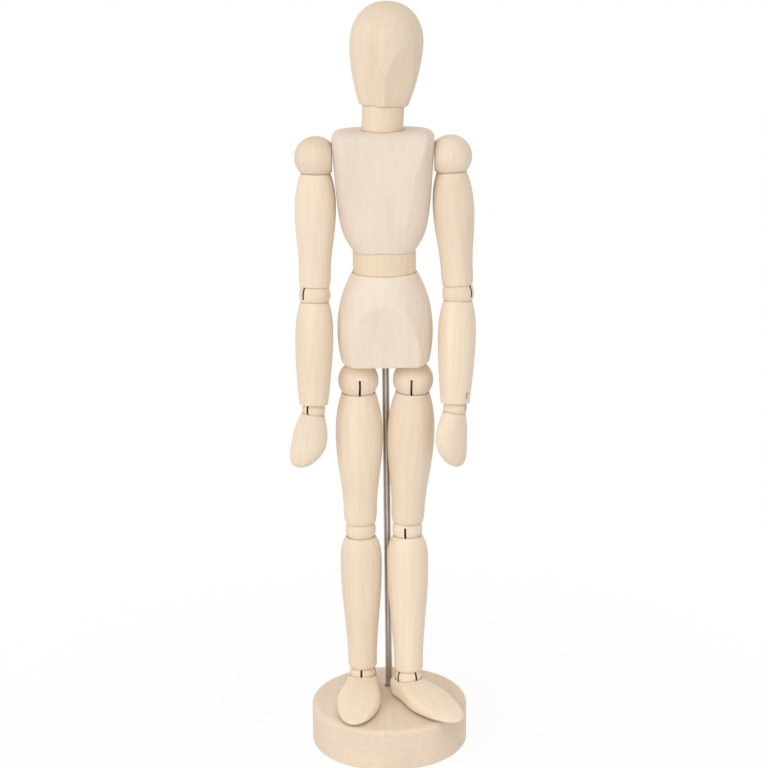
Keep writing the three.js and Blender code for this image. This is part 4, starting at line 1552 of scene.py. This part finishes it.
@dataclass
class Studio:
    """Pale floor, soft light and the camera."""

    camera_at: Triple = (-0.0007, -0.6805, 0.3379)
    pitch: float = 15.06
    roll: float = -0.66
    lens: float = 82.03
    sensor: float = 36.0
    nearest: float = 0.01
    sky: float = 0.705
    floor_radius: float = 3000.0
    floor_thickness: float = 4.0
    floor_sides: int = 64
    floor_tone: Triple = (0.9, 0.9, 0.9)
    shadow_reach: Point = (0.04, 0.22)
    white_share: Point = (0.9, 1.0)

    def build(self) -> None:
        """Sets up the whole studio."""
        bpy.context.scene.view_settings.view_transform = "Standard"
        self._floor()
        self._world()
        for lamp in LAMPS:
            lamp.hang()
        self._camera()

    def _camera(self) -> None:
        """The camera at the photograph's angle."""
        data = bpy.data.cameras.new("camera")
        data.lens = self.lens
        data.sensor_width = self.sensor
        data.clip_start = self.nearest
        camera = bpy.data.objects.new("camera", data)
        aim = Matrix.Rotation(math.radians(90.0 - self.pitch), 4, "X")
        roll = Matrix.Rotation(math.radians(self.roll), 4, "Z")
        camera.matrix_world = Matrix.Translation(self.camera_at) @ aim @ roll
        bpy.context.scene.collection.objects.link(camera)
        bpy.context.scene.camera = camera

    def _floor(self) -> None:
        """A pale floor that shows white and keeps a soft shadow."""
        heights = (-self.floor_thickness, 0.0)
        floor = Maker.disc("floor", self.floor_radius, heights, Matrix.Identity(4), self.floor_sides)
        material = bpy.data.materials.new("pale_floor")
        material.use_nodes = True
        tree = material.node_tree
        tree.nodes.clear()
        seen = tree.nodes.new("ShaderNodeEmission")
        paint = tree.nodes.new("ShaderNodeBsdfDiffuse")
        paint.inputs["Color"].default_value = (*self.floor_tone, 1.0)
        out = tree.nodes.new("ShaderNodeOutputMaterial")
        share = arithmetic(tree, "MULTIPLY", self._direct(tree), self._whiter_outwards(tree))
        self._mix(tree, (share, paint.outputs["BSDF"], seen.outputs["Emission"]), out)
        floor.data.materials.append(material)

    def _world(self) -> None:
        """An even pale sky that shows white."""
        world = bpy.data.worlds.new("studio")
        bpy.context.scene.world = world
        world.use_nodes = True
        tree = world.node_tree
        tree.nodes.clear()
        skies = []
        for strength in (self.sky, 1.0):
            sky = tree.nodes.new("ShaderNodeBackground")
            sky.inputs["Color"].default_value = (1.0, 1.0, 1.0, 1.0)
            sky.inputs["Strength"].default_value = strength
            skies.append(sky.outputs["Background"])
        out = tree.nodes.new("ShaderNodeOutputWorld")
        self._mix(tree, (self._direct(tree), *skies), out)

    @staticmethod
    def _mix(
        tree: bpy.types.NodeTree, parts: tuple[bpy.types.NodeSocket, ...], out: bpy.types.Node
    ) -> None:
        """Sends a mix of two shaders to the output.

        Args:
            tree: The node tree.
            parts: The second shader's share and both shaders.
            out: The output node.
        """
        mix = tree.nodes.new("ShaderNodeMixShader")
        for part, entry in zip(parts, mix.inputs):
            tree.links.new(part, entry)
        tree.links.new(mix.outputs["Shader"], out.inputs["Surface"])

    def _whiter_outwards(self, tree: bpy.types.NodeTree) -> bpy.types.NodeSocket:
        """A share that grows to 1 away from the figure, so that only its own shadow shows.

        Args:
            tree: The floor's node tree.

        Returns:
            The share's socket.
        """
        place = tree.nodes.new("ShaderNodeTexCoord")
        reach = tree.nodes.new("ShaderNodeVectorMath")
        reach.operation = "LENGTH"
        tree.links.new(place.outputs["Object"], reach.inputs[0])
        return remap(tree, reach.outputs["Value"], self.white_share, self.shadow_reach)

    @staticmethod
    def _direct(tree: bpy.types.NodeTree) -> bpy.types.NodeSocket:
        """A value of 1 for what the camera, gloss or glass sees.

        Args:
            tree: The node tree.

        Returns:
            The value's socket.
        """
        path = tree.nodes.new("ShaderNodeLightPath")
        value = path.outputs["Is Camera Ray"]
        for name in ("Is Glossy Ray", "Is Transmission Ray"):
            value = arithmetic(tree, "MAXIMUM", value, path.outputs[name])
        return value


def main() -> None:
    """Builds the whole dressed figure and its studio."""
    logging.basicConfig(level=logging.INFO, format="%(name)s: %(message)s")
    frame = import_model()
    wardrobe = Wardrobe(frame)
    bones = Skeleton(frame)
    joints = Joints(wardrobe)
    Studio().build()
    Stand(wardrobe).build()
    Trunk(wardrobe, bones).build()
    for side, twist, tip in ((Side.RIGHT, 0.0, 3.0), (Side.LEFT, 30.0, 4.0)):
        Arm(side, wardrobe, bones, joints, twist, tip, nail=side is Side.LEFT).build()
        Leg(side, wardrobe, bones, joints).build()
    Springs(wardrobe).build()
    wardrobe.keep(node for node in frame["nodes"] if node.endswith(("_pin", "_link")))


if __name__ == "__main__":
    main()
